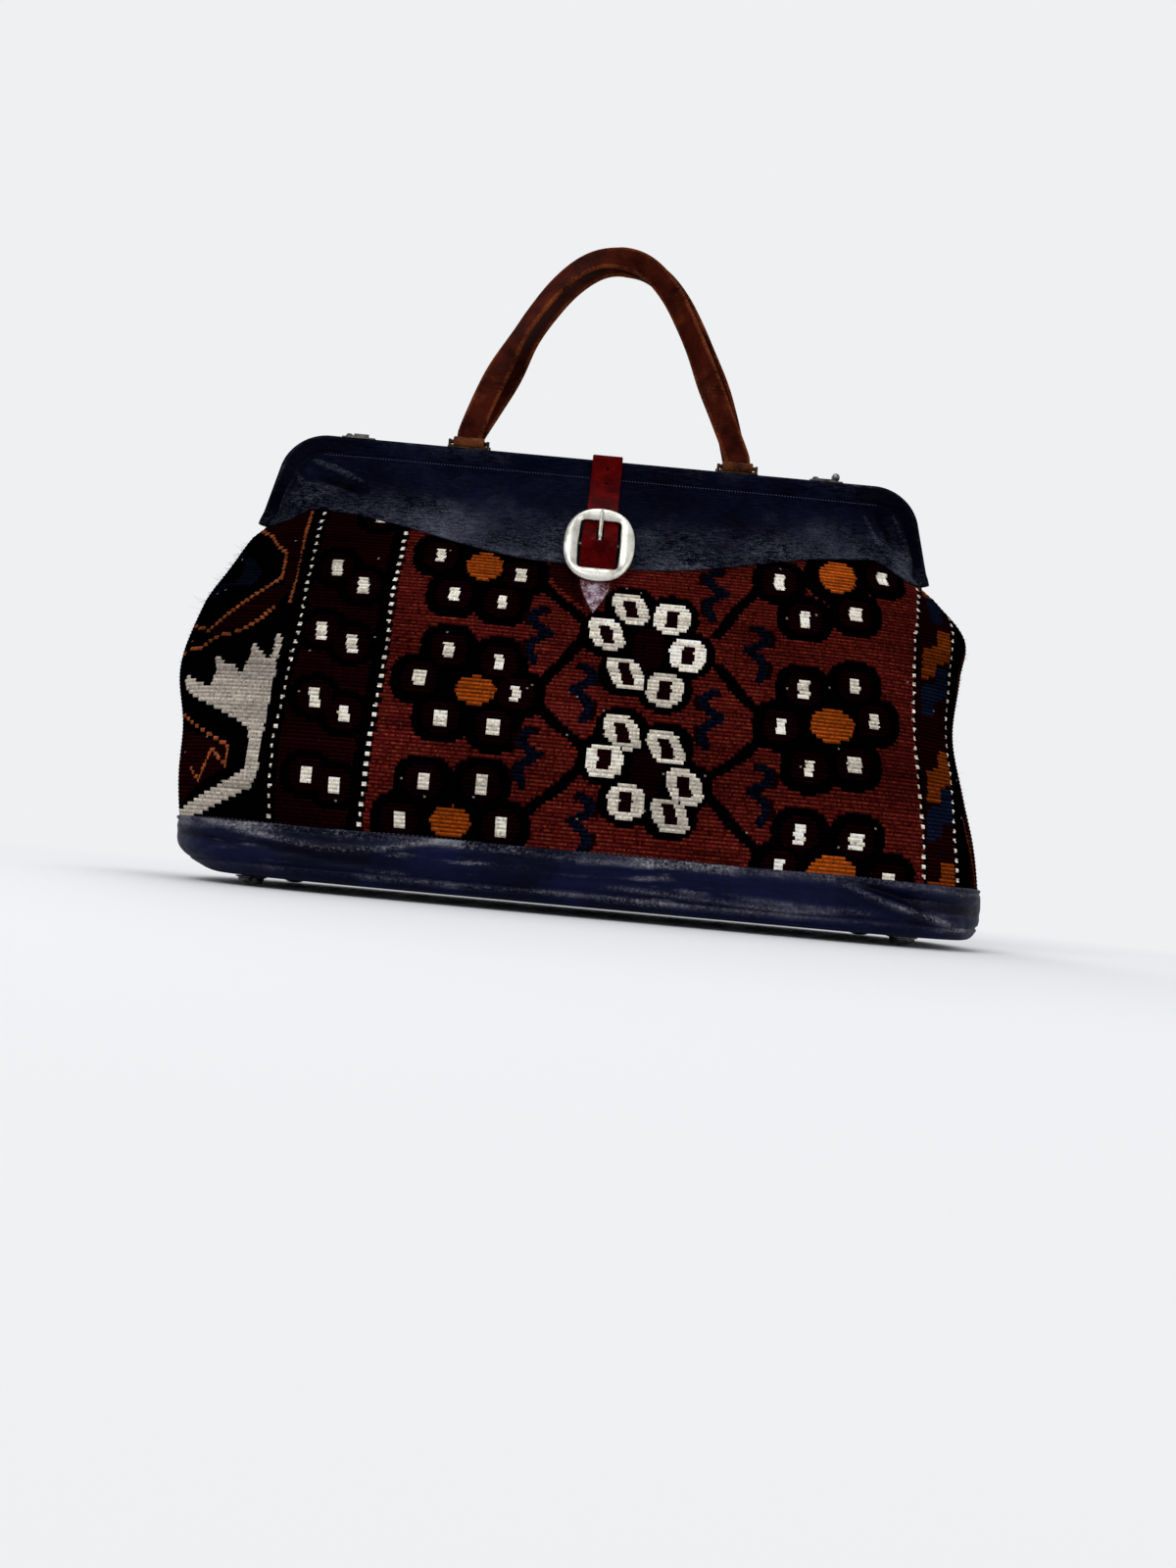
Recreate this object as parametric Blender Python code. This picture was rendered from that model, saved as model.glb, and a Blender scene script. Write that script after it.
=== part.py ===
"""Kilim doctor bag: woven tub on a leather base, hinged top frame, two handles and a buckled strap.

X is the width, Y the depth with the front at -Y, Z is up. The feet stand on Z = 0.
The tub leans to the left, so sizes along X are counted from the middle of its feet,
and at the end every piece moves by CENTRE_SHIFT, to the middle of the whole bag.
"""

import math

import bmesh
import bpy
from mathutils import Matrix, Vector

MM = 0.001
CLEAR = 0.3 * MM
CENTRE_SHIFT = 8.5 * MM

# Driving sizes
FOOT_HEIGHT = 6.6 * MM
FOOT_RADIUS = 9.0 * MM
FOOT_X = 234 * MM
FOOT_Y = 64 * MM
BASE_HALF_WIDTH = 288 * MM
BODY_HALF_WIDTH = 294 * MM
BASE_HALF_DEPTH = 98 * MM
BODY_HALF_DEPTH = 103 * MM
PLAN_POWER_BASE = 6.5
PLAN_POWER_TOP = 4.0
BASE_BAND_TOP = 43 * MM
BASE_WALL = 3.0 * MM
BOARD_THICK = 2.4 * MM
KILIM_THICK = 2.5 * MM
LINING_THICK = 1.4 * MM
LINING_TOP = 252 * MM
YOKE_THICK = 1.8 * MM
PRINT_THICK = 0.6 * MM
RINGS_X = 36 * MM
PANEL_STEPS = 13
PANEL_ROWS = 8

# Top frame
FRAME_SHIFT = -12 * MM
FRAME_TOP = 352 * MM
PIVOT_Z = 280 * MM
PIVOT_HALF = 253.5 * MM
RAIL_HEIGHT = 14 * MM
RAIL_THICK = 9.4 * MM
RAIL_Y = 6.0 * MM
CORNER_RADIUS = 28 * MM
ARM_FLARE = math.radians(15)
ARM_END_Z = PIVOT_Z + 10 * MM
EYE_RADIUS = 8 * MM
EYE_THICK = 2.4 * MM
PIN_RADIUS = 2.2 * MM
PIN_HEAD = 4.5 * MM
PIN_FIT = 0.1 * MM
KILIM_EDGE_MIDDLE = 258 * MM
KILIM_EDGE_SIDE = 287 * MM
KILIM_EDGE_END = 265 * MM

# Handles
HANDLE_HALF = 106 * MM
HANDLE_WIDTH = 19.5 * MM
HANDLE_THICK = 3.2 * MM
HANDLE_RISE = 161 * MM
HANDLE_ROLL = 24 * MM
STAPLE_WIRE = 1.6 * MM
STAPLE_PLATE = 1.0 * MM
LOOP_INNER = STAPLE_WIRE + 0.5 * MM
LOOP_OUTER = LOOP_INNER + 2.1 * MM
STAPLE_Z = FRAME_TOP + CLEAR + STAPLE_PLATE + CLEAR + LOOP_OUTER + 0.2 * MM

# Closure strap and buckle
STRAP_X = -8 * MM
STRAP_WIDTH = 23.5 * MM
STRAP_THICK = 2.3 * MM
STRAP_TIP_Z = 216 * MM
STRAP_REAR_Z = 300 * MM
STRAP_HOLES = (345 * MM, 331 * MM)
BUCKLE_Z = 267.5 * MM
BUCKLE_WIDTH = 52 * MM
BUCKLE_HEIGHT = 64 * MM
BUCKLE_OPEN_WIDTH = 27 * MM
BUCKLE_OPEN_HEIGHT = 41 * MM
BUCKLE_THICK = 3.0 * MM
BAR_RADIUS = 1.6 * MM
BAR_LIFT = 4.6 * MM
RIM_LIFT = 5.4 * MM
CHAPE_WIDTH = 17 * MM
CHAPE_THICK = 1.2 * MM
PRONG_WIDTH = 3.0 * MM

# Top catches
CATCH_LEFT = -200 * MM
CATCH_RIGHT = 168 * MM
CATCH_REACH = 13.5 * MM
CATCH_THICK = 1.2 * MM

RAIL_BOTTOM = FRAME_TOP - RAIL_HEIGHT
RAIL_MIDDLE = FRAME_TOP - RAIL_HEIGHT / 2
FLOOR_Z = FOOT_HEIGHT + CLEAR

# Height, half width of the tub, how far its middle leans in X, and its half depth
BODY_STATIONS = (
    (FLOOR_Z, BASE_HALF_WIDTH - 4 * MM, -2 * MM, BASE_HALF_DEPTH - 2 * MM),
    (BASE_BAND_TOP, BASE_HALF_WIDTH + 10 * MM, -3 * MM, BODY_HALF_DEPTH - 3 * MM),
    (75 * MM, BODY_HALF_WIDTH + 5 * MM, -7 * MM, BODY_HALF_DEPTH),
    (110 * MM, BODY_HALF_WIDTH, -12 * MM, BODY_HALF_DEPTH),
    (156 * MM, BODY_HALF_WIDTH - 2 * MM, -20 * MM, BODY_HALF_DEPTH - 6 * MM),
    (205 * MM, BODY_HALF_WIDTH - 6 * MM, -14 * MM, BODY_HALF_DEPTH - 19 * MM),
    (234 * MM, BODY_HALF_WIDTH - 15 * MM, -12 * MM, BODY_HALF_DEPTH - 30 * MM),
    (262 * MM, BODY_HALF_WIDTH - 31 * MM, FRAME_SHIFT, BODY_HALF_DEPTH - 41.3 * MM),
    (268 * MM, BODY_HALF_WIDTH - 36 * MM, FRAME_SHIFT, BODY_HALF_DEPTH - 43.5 * MM),
    (PIVOT_Z, PIVOT_HALF - 6 * MM, FRAME_SHIFT, BODY_HALF_DEPTH - 48.5 * MM),
    (PIVOT_Z + 15 * MM, PIVOT_HALF - 8 * MM, FRAME_SHIFT, BODY_HALF_DEPTH - 56 * MM),
    (PIVOT_Z + 35 * MM, PIVOT_HALF - 12 * MM, FRAME_SHIFT, BODY_HALF_DEPTH - 73 * MM),
    (RAIL_BOTTOM, PIVOT_HALF - 14 * MM, FRAME_SHIFT, RAIL_Y + 1.5 * MM),
    (FRAME_TOP, PIVOT_HALF - 14 * MM, FRAME_SHIFT, RAIL_Y),
)


def clear_scene():
    for obj in list(bpy.data.objects):
        bpy.data.objects.remove(obj, do_unlink=True)


def smooth(low, high, value):
    t = min(1.0, max(0.0, (value - low) / (high - low)))
    return t * t * (3 - 2 * t)


def station(z, column):
    """A smooth reading of one column of BODY_STATIONS at this height."""
    rows = BODY_STATIONS
    if z <= rows[0][0]:
        return rows[0][column]
    for k in range(len(rows) - 1):
        a, b = rows[k], rows[k + 1]
        if z <= b[0]:
            before = rows[max(0, k - 1)]
            after = rows[min(len(rows) - 1, k + 2)]
            span = b[0] - a[0]
            t = (z - a[0]) / span
            slope_a = (b[column] - before[column]) / (b[0] - before[0]) * span
            slope_b = (after[column] - a[column]) / (after[0] - a[0]) * span
            t2, t3 = t * t, t * t * t
            return (
                (2 * t3 - 3 * t2 + 1) * a[column]
                + (t3 - 2 * t2 + t) * slope_a
                + (3 * t2 - 2 * t3) * b[column]
                + (t3 - t2) * slope_b
            )
    return rows[-1][column]


def plan_power(z):
    """How square the tub's outline is from above: squarest at the base."""
    return PLAN_POWER_BASE + (PLAN_POWER_TOP - PLAN_POWER_BASE) * smooth(BASE_BAND_TOP, 190 * MM, z)


def depth_at(x, z, inset=0.0):
    """How far the tub's or yoke's outer face stands from the middle plane, less an inset."""
    half = station(z, 1) - inset
    deep = station(z, 3) - inset
    edge = RAIL_Y * smooth(PIVOT_Z - 18 * MM, PIVOT_Z + 8 * MM, z)
    edge = min(edge, deep)
    u = min(1.0, abs(x - station(z, 2)) / half)
    return edge + (deep - edge) * (1 - u ** plan_power(z)) ** 0.4


def kilim_edge(x):
    """Height of the seam between the kilim and the yoke."""
    away = abs(x - FRAME_SHIFT)
    rise = KILIM_EDGE_MIDDLE + (KILIM_EDGE_SIDE - KILIM_EDGE_MIDDLE) * smooth(30 * MM, 215 * MM, away)
    return rise + (KILIM_EDGE_END - rise) * smooth(205 * MM, 243 * MM, away)


def material(name, colour, roughness, metallic=0.0):
    made = bpy.data.materials.get(name) or bpy.data.materials.new(name)
    made.use_nodes = True
    shader = made.node_tree.nodes["Principled BSDF"]
    shader.inputs["Base Color"].default_value = (*colour, 1.0)
    shader.inputs["Roughness"].default_value = roughness
    shader.inputs["Metallic"].default_value = metallic
    made.diffuse_color = (*colour, 1.0)
    made.roughness = roughness
    made.metallic = metallic
    return made


NAVY = ("navy_leather", (0.022, 0.026, 0.055), 0.7)
BASE_NAVY = ("base_leather", (0.035, 0.040, 0.105), 0.5)
BRICK = ("kilim_red", (0.115, 0.012, 0.008), 0.9)
BLACK = ("kilim_black", (0.006, 0.003, 0.004), 0.9)
MAROON = ("kilim_maroon", (0.03, 0.004, 0.005), 0.9)
CREAM = ("kilim_cream", (0.62, 0.56, 0.48), 0.9)
ORANGE = ("kilim_orange", (0.42, 0.12, 0.02), 0.9)
RED = ("strap_leather", (0.20, 0.012, 0.008), 0.45)
BROWN = ("handle_leather", (0.11, 0.022, 0.009), 0.45)
CHROME = ("bright_metal", (0.75, 0.75, 0.72), 0.22, 1.0)
STEEL = ("grey_steel", (0.35, 0.35, 0.36), 0.35, 1.0)
CLOTH = ("lining_cloth", (0.16, 0.13, 0.10), 0.95)
BOARD = ("base_card", (0.35, 0.27, 0.18), 0.9)


def finish_object(name, bm, look, sharp=35):
    """Makes the node from a bmesh: normals out, smooth with sharp edges kept, its own material."""
    bmesh.ops.recalc_face_normals(bm, faces=bm.faces)
    volume = bm.calc_volume(signed=True)
    if volume < 0:
        bmesh.ops.reverse_faces(bm, faces=bm.faces)
    mesh = bpy.data.meshes.new(name)
    bm.to_mesh(mesh)
    bm.free()
    obj = bpy.data.objects.new(name, mesh)
    bpy.context.scene.collection.objects.link(obj)
    mesh.materials.append(material(*look))
    mesh.shade_smooth()
    mesh.set_sharp_from_angle(angle=math.radians(sharp))
    return obj


def loft(bm, loops):
    """Skins a row of equal loops and caps both ends."""
    rings = [[bm.verts.new(p) for p in loop] for loop in loops]
    count = len(rings[0])
    for a, b in zip(rings, rings[1:]):
        for i in range(count):
            j = (i + 1) % count
            bm.faces.new((a[i], a[j], b[j], b[i]))
    bm.faces.new(list(reversed(rings[0])))
    bm.faces.new(rings[-1])


def slab(bm, outer, inner):
    """A closed sheet from two equal grids of points, one for each face."""
    rows, columns = len(outer), len(outer[0])
    out = [[bm.verts.new(p) for p in row] for row in outer]
    back = [[bm.verts.new(p) for p in row] for row in inner]
    for r in range(rows - 1):
        for c in range(columns - 1):
            bm.faces.new((out[r][c], out[r][c + 1], out[r + 1][c + 1], out[r + 1][c]))
            bm.faces.new((back[r][c], back[r + 1][c], back[r + 1][c + 1], back[r][c + 1]))
    for c in range(columns - 1):
        bm.faces.new((out[0][c + 1], out[0][c], back[0][c], back[0][c + 1]))
        bm.faces.new((out[-1][c], out[-1][c + 1], back[-1][c + 1], back[-1][c]))
    for r in range(rows - 1):
        bm.faces.new((out[r][0], out[r + 1][0], back[r + 1][0], back[r][0]))
        bm.faces.new((out[r + 1][-1], out[r][-1], back[r][-1], back[r + 1][-1]))


def sweep(bm, path, across, half_width, half_thick, corner=0.3):
    """Sweeps a rounded bar section along a path. Across is the fixed direction of its width."""
    across = Vector(across).normalized()
    loops = []
    for k, point in enumerate(path):
        before = path[max(0, k - 1)]
        after = path[min(len(path) - 1, k + 1)]
        along = (after - before).normalized()
        normal = across.cross(along).normalized()
        cut = corner * min(half_width, half_thick)
        ring = []
        for sw, st in ((1, 1), (-1, 1), (-1, -1), (1, -1)):
            a = (sw * half_width, st * (half_thick - cut))
            b = (sw * (half_width - cut), st * half_thick)
            pair = (a, b) if sw * st > 0 else (b, a)
            for w, t in pair:
                ring.append(point + across * w + normal * t)
        loops.append(ring)
    loft(bm, loops)


def tub_loop(z, inset, count, flat=None):
    """One level outline of the tub, inset from its outer face."""
    half = station(z, 1) - inset
    deep = station(z, 3) - inset
    lean = station(z, 2)
    level = z if flat is None else flat
    ring = []
    for k in range(count):
        a = 2 * math.pi * (k + 0.5) / count
        c, s = math.cos(a), math.sin(a)
        x = half * math.copysign(abs(c) ** (2 / plan_power(z)), c)
        y = deep * math.copysign(abs(s) ** 0.8, s)
        ring.append(Vector((x + lean, y, level)))
    return ring


def add_base():
    count = 52
    bm = bmesh.new()
    rim = BASE_BAND_TOP
    loops = [
        tub_loop(FLOOR_Z, 12 * MM, count),
        tub_loop(FLOOR_Z, 4 * MM, count, FLOOR_Z + 1.2 * MM),
        tub_loop(FLOOR_Z, 0.4 * MM, count, FLOOR_Z + 4 * MM),
        tub_loop(FLOOR_Z + 8 * MM, -0.7 * MM, count),
        tub_loop(FLOOR_Z + 10 * MM, 0.4 * MM, count),
        tub_loop(FLOOR_Z + 22 * MM, -1.5 * MM, count),
        tub_loop(rim, 0.0, count),
        tub_loop(rim, BASE_WALL, count),
        tub_loop(FLOOR_Z + 22 * MM, BASE_WALL, count),
        tub_loop(FLOOR_Z + 8 * MM, BASE_WALL + 0.6 * MM, count),
        tub_loop(FLOOR_Z, 14 * MM, count, FLOOR_Z + BASE_WALL),
    ]
    loft(bm, loops)
    finish_object("base_leather", bm, BASE_NAVY)

    bm = bmesh.new()
    low = FLOOR_Z + BASE_WALL + CLEAR
    loft(
        bm,
        [
            tub_loop(FLOOR_Z, 17 * MM, count, low),
            tub_loop(FLOOR_Z, 17 * MM, count, low + BOARD_THICK),
        ],
    )
    finish_object("base_board", bm, BOARD)

    for side, word in ((-1, "left"), (1, "right")):
        for end, where in ((-1, "front"), (1, "rear")):
            bm = bmesh.new()
            centre = Vector((side * FOOT_X + station(FLOOR_Z, 2) + 2 * MM, end * FOOT_Y, 0))
            profile = ((1.0, 1.0), (0.98, 0.7), (0.86, 0.38), (0.63, 0.13), (0.33, 0.0))
            loops = []
            for wide, high in profile:
                ring = []
                for k in range(20):
                    a = 2 * math.pi * k / 20
                    offset = Vector((math.cos(a), math.sin(a), 0)) * FOOT_RADIUS * wide
                    ring.append(centre + offset + Vector((0, 0, FOOT_HEIGHT * high)))
                loops.append(ring)
            loft(bm, loops)
            finish_object(f"{where}_foot_{word}", bm, CHROME)


def across_steps(count):
    """Even steps from one end of a panel to the other, closer together near its ends."""
    steps = []
    for k in range(-count, count + 1):
        t = abs(k) / count
        u = math.sin(math.pi * t / 2) ** 0.9
        steps.append(math.copysign(u, k) if k else 0.0)
    return steps


def panel_point(u, share, low, inset, side):
    """A point of the kilim panel: u runs across it, share up it."""
    z = low
    for _ in range(4):
        half = station(z, 1)
        top = kilim_edge(station(z, 2) + u * half)
        z = low + (top - low) * share
    half = station(z, 1) - inset
    x = station(z, 2) + u * half
    y = max(CLEAR / 2, depth_at(x, z, inset))
    return Vector((x, side * y, z))


def add_kilim():
    steps = across_steps(PANEL_STEPS)
    low = BASE_BAND_TOP + CLEAR
    rows = PANEL_ROWS
    for side, word in ((-1, "front"), (1, "rear")):
        bm = bmesh.new()
        outer, inner = [], []
        for r in range(rows + 1):
            share = r / rows
            outer.append([panel_point(u, share, low, 0.0, side) for u in steps])
            inner.append([panel_point(u, share, low, KILIM_THICK, side) for u in steps])
        slab(bm, outer, inner)
        finish_object(f"kilim_{word}_panel", bm, BRICK)


def add_lining():
    count = 40
    skin = KILIM_THICK + CLEAR
    low = FLOOR_Z + BASE_WALL + CLEAR + BOARD_THICK + CLEAR
    heights = [FLOOR_Z + 22 * MM, 75 * MM, 110 * MM, 156 * MM, 205 * MM, LINING_TOP]
    bm = bmesh.new()
    loops = [
        tub_loop(FLOOR_Z, 19 * MM, count, low),
        tub_loop(FLOOR_Z, 8 * MM, count, low + 3 * MM),
    ]
    loops += [tub_loop(z, skin + 1.6 * MM, count) for z in heights]
    loops += [tub_loop(z, skin + 1.6 * MM + LINING_THICK, count) for z in reversed(heights)]
    loops += [
        tub_loop(FLOOR_Z, 9.5 * MM, count, low + 4 * MM),
        tub_loop(FLOOR_Z, 21 * MM, count, low + LINING_THICK),
    ]
    loft(bm, loops)
    finish_object("lining", bm, CLOTH)


def yoke_half(z):
    """Half width of the yoke at this height, inside the frame's bar and arms."""
    inner = CORNER_RADIUS - RAIL_HEIGHT / 2 - CLEAR
    centre_z = RAIL_MIDDLE - CORNER_RADIUS
    centre_x = frame_corner_x()
    turn = math.pi / 2 - ARM_FLARE
    end_z = centre_z + inner * math.cos(turn)
    if z >= end_z:
        up = min(inner, z - centre_z)
        return centre_x + math.sqrt(max(0.0, inner * inner - up * up))
    return centre_x + inner * math.sin(turn) + (end_z - z) * math.tan(ARM_FLARE)


def frame_corner_x():
    """Middle of the corner's arc, counted from the frame's own middle."""
    turn = math.pi / 2 - ARM_FLARE
    end_z = RAIL_MIDDLE - CORNER_RADIUS + CORNER_RADIUS * math.cos(turn)
    run = CORNER_RADIUS * math.sin(turn) + (end_z - PIVOT_Z) * math.tan(ARM_FLARE)
    return PIVOT_HALF - run


def add_yokes():
    steps = across_steps(PANEL_STEPS)
    rows = 7
    top = RAIL_BOTTOM - CLEAR
    for side, word in ((-1, "front"), (1, "rear")):
        bm = bmesh.new()
        outer, inner = [], []
        for r in range(rows + 1):
            share = r / rows
            out_row, in_row = [], []
            for u in steps:
                z = PIVOT_Z
                for _ in range(6):
                    x = FRAME_SHIFT + u * min(yoke_half(z), PIVOT_HALF - 8.6 * MM)
                    ends = smooth(185 * MM, 225 * MM, abs(x - FRAME_SHIFT))
                    start = kilim_edge(x) + 0.5 * MM + 2.5 * MM * ends
                    z = start + (top - start) * share
                y = depth_at(x, z)
                out_row.append(Vector((x, side * (y + YOKE_THICK / 2), z)))
                in_row.append(Vector((x, side * (y - YOKE_THICK / 2), z)))
            outer.append(out_row)
            inner.append(in_row)
        slab(bm, outer, inner)
        finish_object(f"{word}_yoke", bm, NAVY)


def frame_path(y):
    """Middle line of the frame's bar from one arm's end to the other's."""
    corner_x = frame_corner_x()
    centre_z = RAIL_MIDDLE - CORNER_RADIUS
    turn = math.pi / 2 - ARM_FLARE
    half = []
    reach = PIVOT_HALF - (ARM_END_Z - PIVOT_Z) * math.tan(ARM_FLARE)
    half.append((reach, ARM_END_Z))
    steps = 7
    for k in range(steps + 1):
        a = turn * (1 - k / steps)
        half.append((corner_x + CORNER_RADIUS * math.sin(a), centre_z + CORNER_RADIUS * math.cos(a)))
    inner = [(corner_x * t, RAIL_MIDDLE) for t in (0.66, 0.33)]
    right = half + inner
    left = [(-x, z) for x, z in reversed(right)]
    return [Vector((x + FRAME_SHIFT, y, z)) for x, z in right + [(0.0, RAIL_MIDDLE)] + left]


def disc(bm, centre, axis, radius, length, count=24):
    """A round bar about a point, along an axis."""
    axis = Vector(axis).normalized()
    other = Vector((0, 0, 1)) if abs(axis.z) < 0.9 else Vector((1, 0, 0))
    first = axis.cross(other).normalized()
    second = axis.cross(first).normalized()
    loops = []
    for end in (-0.5, 0.5):
        ring = []
        for k in range(count):
            a = 2 * math.pi * k / count
            ring.append(centre + axis * length * end + (first * math.cos(a) + second * math.sin(a)) * radius)
        loops.append(ring)
    loft(bm, loops)


def box(bm, low, high):
    corners = [Vector((x, y, z)) for z in (low[2], high[2]) for x, y in (
        (low[0], low[1]),
        (high[0], low[1]),
        (high[0], high[1]),
        (low[0], high[1]),
    )]
    loft(bm, [corners[:4], corners[4:]])


def piece(name, build):
    """A loose mesh object used in a union or a cut."""
    bm = bmesh.new()
    build(bm)
    bmesh.ops.recalc_face_normals(bm, faces=bm.faces)
    if bm.calc_volume(signed=True) < 0:
        bmesh.ops.reverse_faces(bm, faces=bm.faces)
    mesh = bpy.data.meshes.new(name)
    bm.to_mesh(mesh)
    bm.free()
    obj = bpy.data.objects.new(name, mesh)
    bpy.context.scene.collection.objects.link(obj)
    return obj


def join_and_cut(name, look, solids, cutters=(), sharp=35):
    """Unites the solids, takes the cutters away and bakes the result into one mesh."""
    obj = piece(name, solids[0])
    helpers = [(piece(name + "_add", build), "UNION") for build in solids[1:]]
    helpers += [(piece(name + "_cut", build), "DIFFERENCE") for build in cutters]
    for helper, operation in helpers:
        helper.hide_render = True
        helper.display_type = "WIRE"
        step = obj.modifiers.new("step", "BOOLEAN")
        step.object = helper
        step.operation = operation
        step.solver = "EXACT"
    graph = bpy.context.evaluated_depsgraph_get()
    mesh = bpy.data.meshes.new_from_object(obj.evaluated_get(graph))
    obj.modifiers.clear()
    obj.data = mesh
    for helper, _ in helpers:
        bpy.data.objects.remove(helper, do_unlink=True)
    mesh.materials.clear()
    mesh.materials.append(material(*look))
    mesh.shade_smooth()
    mesh.set_sharp_from_angle(angle=math.radians(sharp))
    return obj


def set_origin(obj, point):
    """Moves the object's origin to its joint without moving its shape."""
    obj.data.transform(Matrix.Translation(-Vector(point)))
    obj.location = point


def add_frames():
    for side, word in ((-1, "front"), (1, "rear")):
        solids = [lambda bm, y=side * RAIL_Y: sweep(
            bm, frame_path(y), (0, 1, 0), RAIL_THICK / 2, RAIL_HEIGHT / 2, 0.5
        )]
        cutters = []
        for end in (-1, 1):
            # The front frame's eyes are outside the rear frame's.
            shift = EYE_THICK / 2 + CLEAR / 2
            x = FRAME_SHIFT + end * (PIVOT_HALF + (shift if side < 0 else -shift))
            centre = Vector((x, 0, PIVOT_Z))
            solids.append(lambda bm, c=centre: disc(bm, c, (1, 0, 0), EYE_RADIUS, EYE_THICK))
            near, far = 2.2 * MM, 9.4 * MM
            y_low, y_high = (near, far) if side > 0 else (-far, -near)
            solids.append(lambda bm, x=x, a=y_low, b=y_high: box(
                bm,
                (x - EYE_THICK / 2, a, PIVOT_Z + 1 * MM),
                (x + EYE_THICK / 2, b, ARM_END_Z + 6 * MM),
            ))
            cutters.append(lambda bm, c=centre: disc(bm, c, (1, 0, 0), PIN_RADIUS + PIN_FIT, 8 * MM))
        obj = join_and_cut(f"{word}_frame_rail", NAVY, solids, cutters)
        set_origin(obj, (FRAME_SHIFT, 0, PIVOT_Z))

    for end, word in ((-1, "left"), (1, "right")):
        x = FRAME_SHIFT + end * PIVOT_HALF
        reach = 2 * (EYE_THICK + CLEAR / 2 + CLEAR)
        head = 1.6 * MM
        join_and_cut(
            f"{word}_frame_pivot",
            STEEL,
            [
                lambda bm, x=x: disc(bm, Vector((x, 0, PIVOT_Z)), (1, 0, 0), PIN_RADIUS, reach + 2 * head),
                lambda bm, x=x: disc(
                    bm, Vector((x - reach / 2 - head / 2, 0, PIVOT_Z)), (1, 0, 0), PIN_HEAD, head
                ),
                lambda bm, x=x: disc(
                    bm, Vector((x + reach / 2 + head / 2, 0, PIVOT_Z)), (1, 0, 0), PIN_HEAD, head
                ),
            ],
        )


def handle_path(y):
    """Middle line of one handle, from its left roll over the grip to its right roll."""
    shape = (
        (1.0, 0.0),
        (0.985, 0.06),
        (0.88, 0.22),
        (0.77, 0.38),
        (0.655, 0.55),
        (0.54, 0.70),
        (0.41, 0.84),
        (0.26, 0.945),
        (0.1, 0.995),
    )
    right = [(HANDLE_HALF * a, STAPLE_Z + HANDLE_RISE * b) for a, b in shape]
    left = [(-x, z) for x, z in reversed(right)]
    points = right + left
    points[0] = (points[0][0], STAPLE_Z + LOOP_OUTER - 0.9 * MM)
    points[-1] = (points[-1][0], STAPLE_Z + LOOP_OUTER - 0.9 * MM)
    return [Vector((x + FRAME_SHIFT, y, z)) for x, z in points]


def add_handles():
    for side, word in ((-1, "front"), (1, "rear")):
        y = side * RAIL_Y
        ends = [Vector((FRAME_SHIFT + end * HANDLE_HALF, y, STAPLE_Z)) for end in (-1, 1)]
        solids = [lambda bm, y=y: sweep(bm, handle_path(y), (0, 1, 0), HANDLE_THICK / 2, HANDLE_WIDTH / 2, 0.5)]
        cutters = []
        for centre in ends:
            solids.append(lambda bm, c=centre: disc(bm, c, (1, 0, 0), LOOP_OUTER, HANDLE_ROLL, 20))
            cutters.append(lambda bm, c=centre: disc(bm, c, (1, 0, 0), LOOP_INNER, HANDLE_ROLL + 4 * MM, 20))
        obj = join_and_cut(f"{word}_handle", BROWN, solids, cutters)
        set_origin(obj, (FRAME_SHIFT, y, STAPLE_Z))
        for centre, end in zip(ends, ("left", "right")):
            half = HANDLE_ROLL / 2 + 1.6 * MM + STAPLE_WIRE
            foot = FRAME_TOP + CLEAR
            join_and_cut(
                f"{word}_handle_staple_{end}",
                STEEL,
                [
                    lambda bm, c=centre, h=half: box(
                        bm,
                        (c.x - h - 1 * MM, c.y - 3.6 * MM, foot),
                        (c.x + h + 1 * MM, c.y + 3.6 * MM, foot + STAPLE_PLATE),
                    ),
                    lambda bm, c=centre, h=half: box(
                        bm,
                        (c.x - h - 0.8 * MM, c.y - STAPLE_WIRE, foot + 0.5 * MM),
                        (c.x - h + 1.2 * MM, c.y + STAPLE_WIRE, STAPLE_Z + STAPLE_WIRE),
                    ),
                    lambda bm, c=centre, h=half: box(
                        bm,
                        (c.x + h - 1.2 * MM, c.y - STAPLE_WIRE, foot + 0.5 * MM),
                        (c.x + h + 0.8 * MM, c.y + STAPLE_WIRE, STAPLE_Z + STAPLE_WIRE),
                    ),
                    lambda bm, c=centre, h=half: disc(bm, c, (1, 0, 0), STAPLE_WIRE, 2 * h, 16),
                ],
            )


def front_slope(z):
    """Unit up direction and outward normal of the front face above the strap."""
    step = 1 * MM
    low = depth_at(STRAP_X, z - step)
    high = depth_at(STRAP_X, z + step)
    up = Vector((0, low - high, 2 * step)).normalized()
    return up, Vector((0, -up.z, up.y))


def front_face(z, lift):
    """A point this far off the front face, on the strap's middle line."""
    up, out = front_slope(z)
    skin = YOKE_THICK / 2 if z > KILIM_EDGE_MIDDLE else 0.0
    return Vector((STRAP_X, -depth_at(STRAP_X, z) - skin, z)) + out * lift


def buckle_frame_of():
    """Where the buckle's bar is, with the buckle's own up and outward directions."""
    up, out = front_slope(BUCKLE_Z)
    return front_face(BUCKLE_Z, BAR_LIFT), up, out


def in_buckle(x, u, n):
    """A point given from the buckle's bar: across, up along the buckle and outward."""
    bar, up, out = buckle_frame_of()
    return bar + Vector((x, 0, 0)) + up * u + out * n


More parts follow.
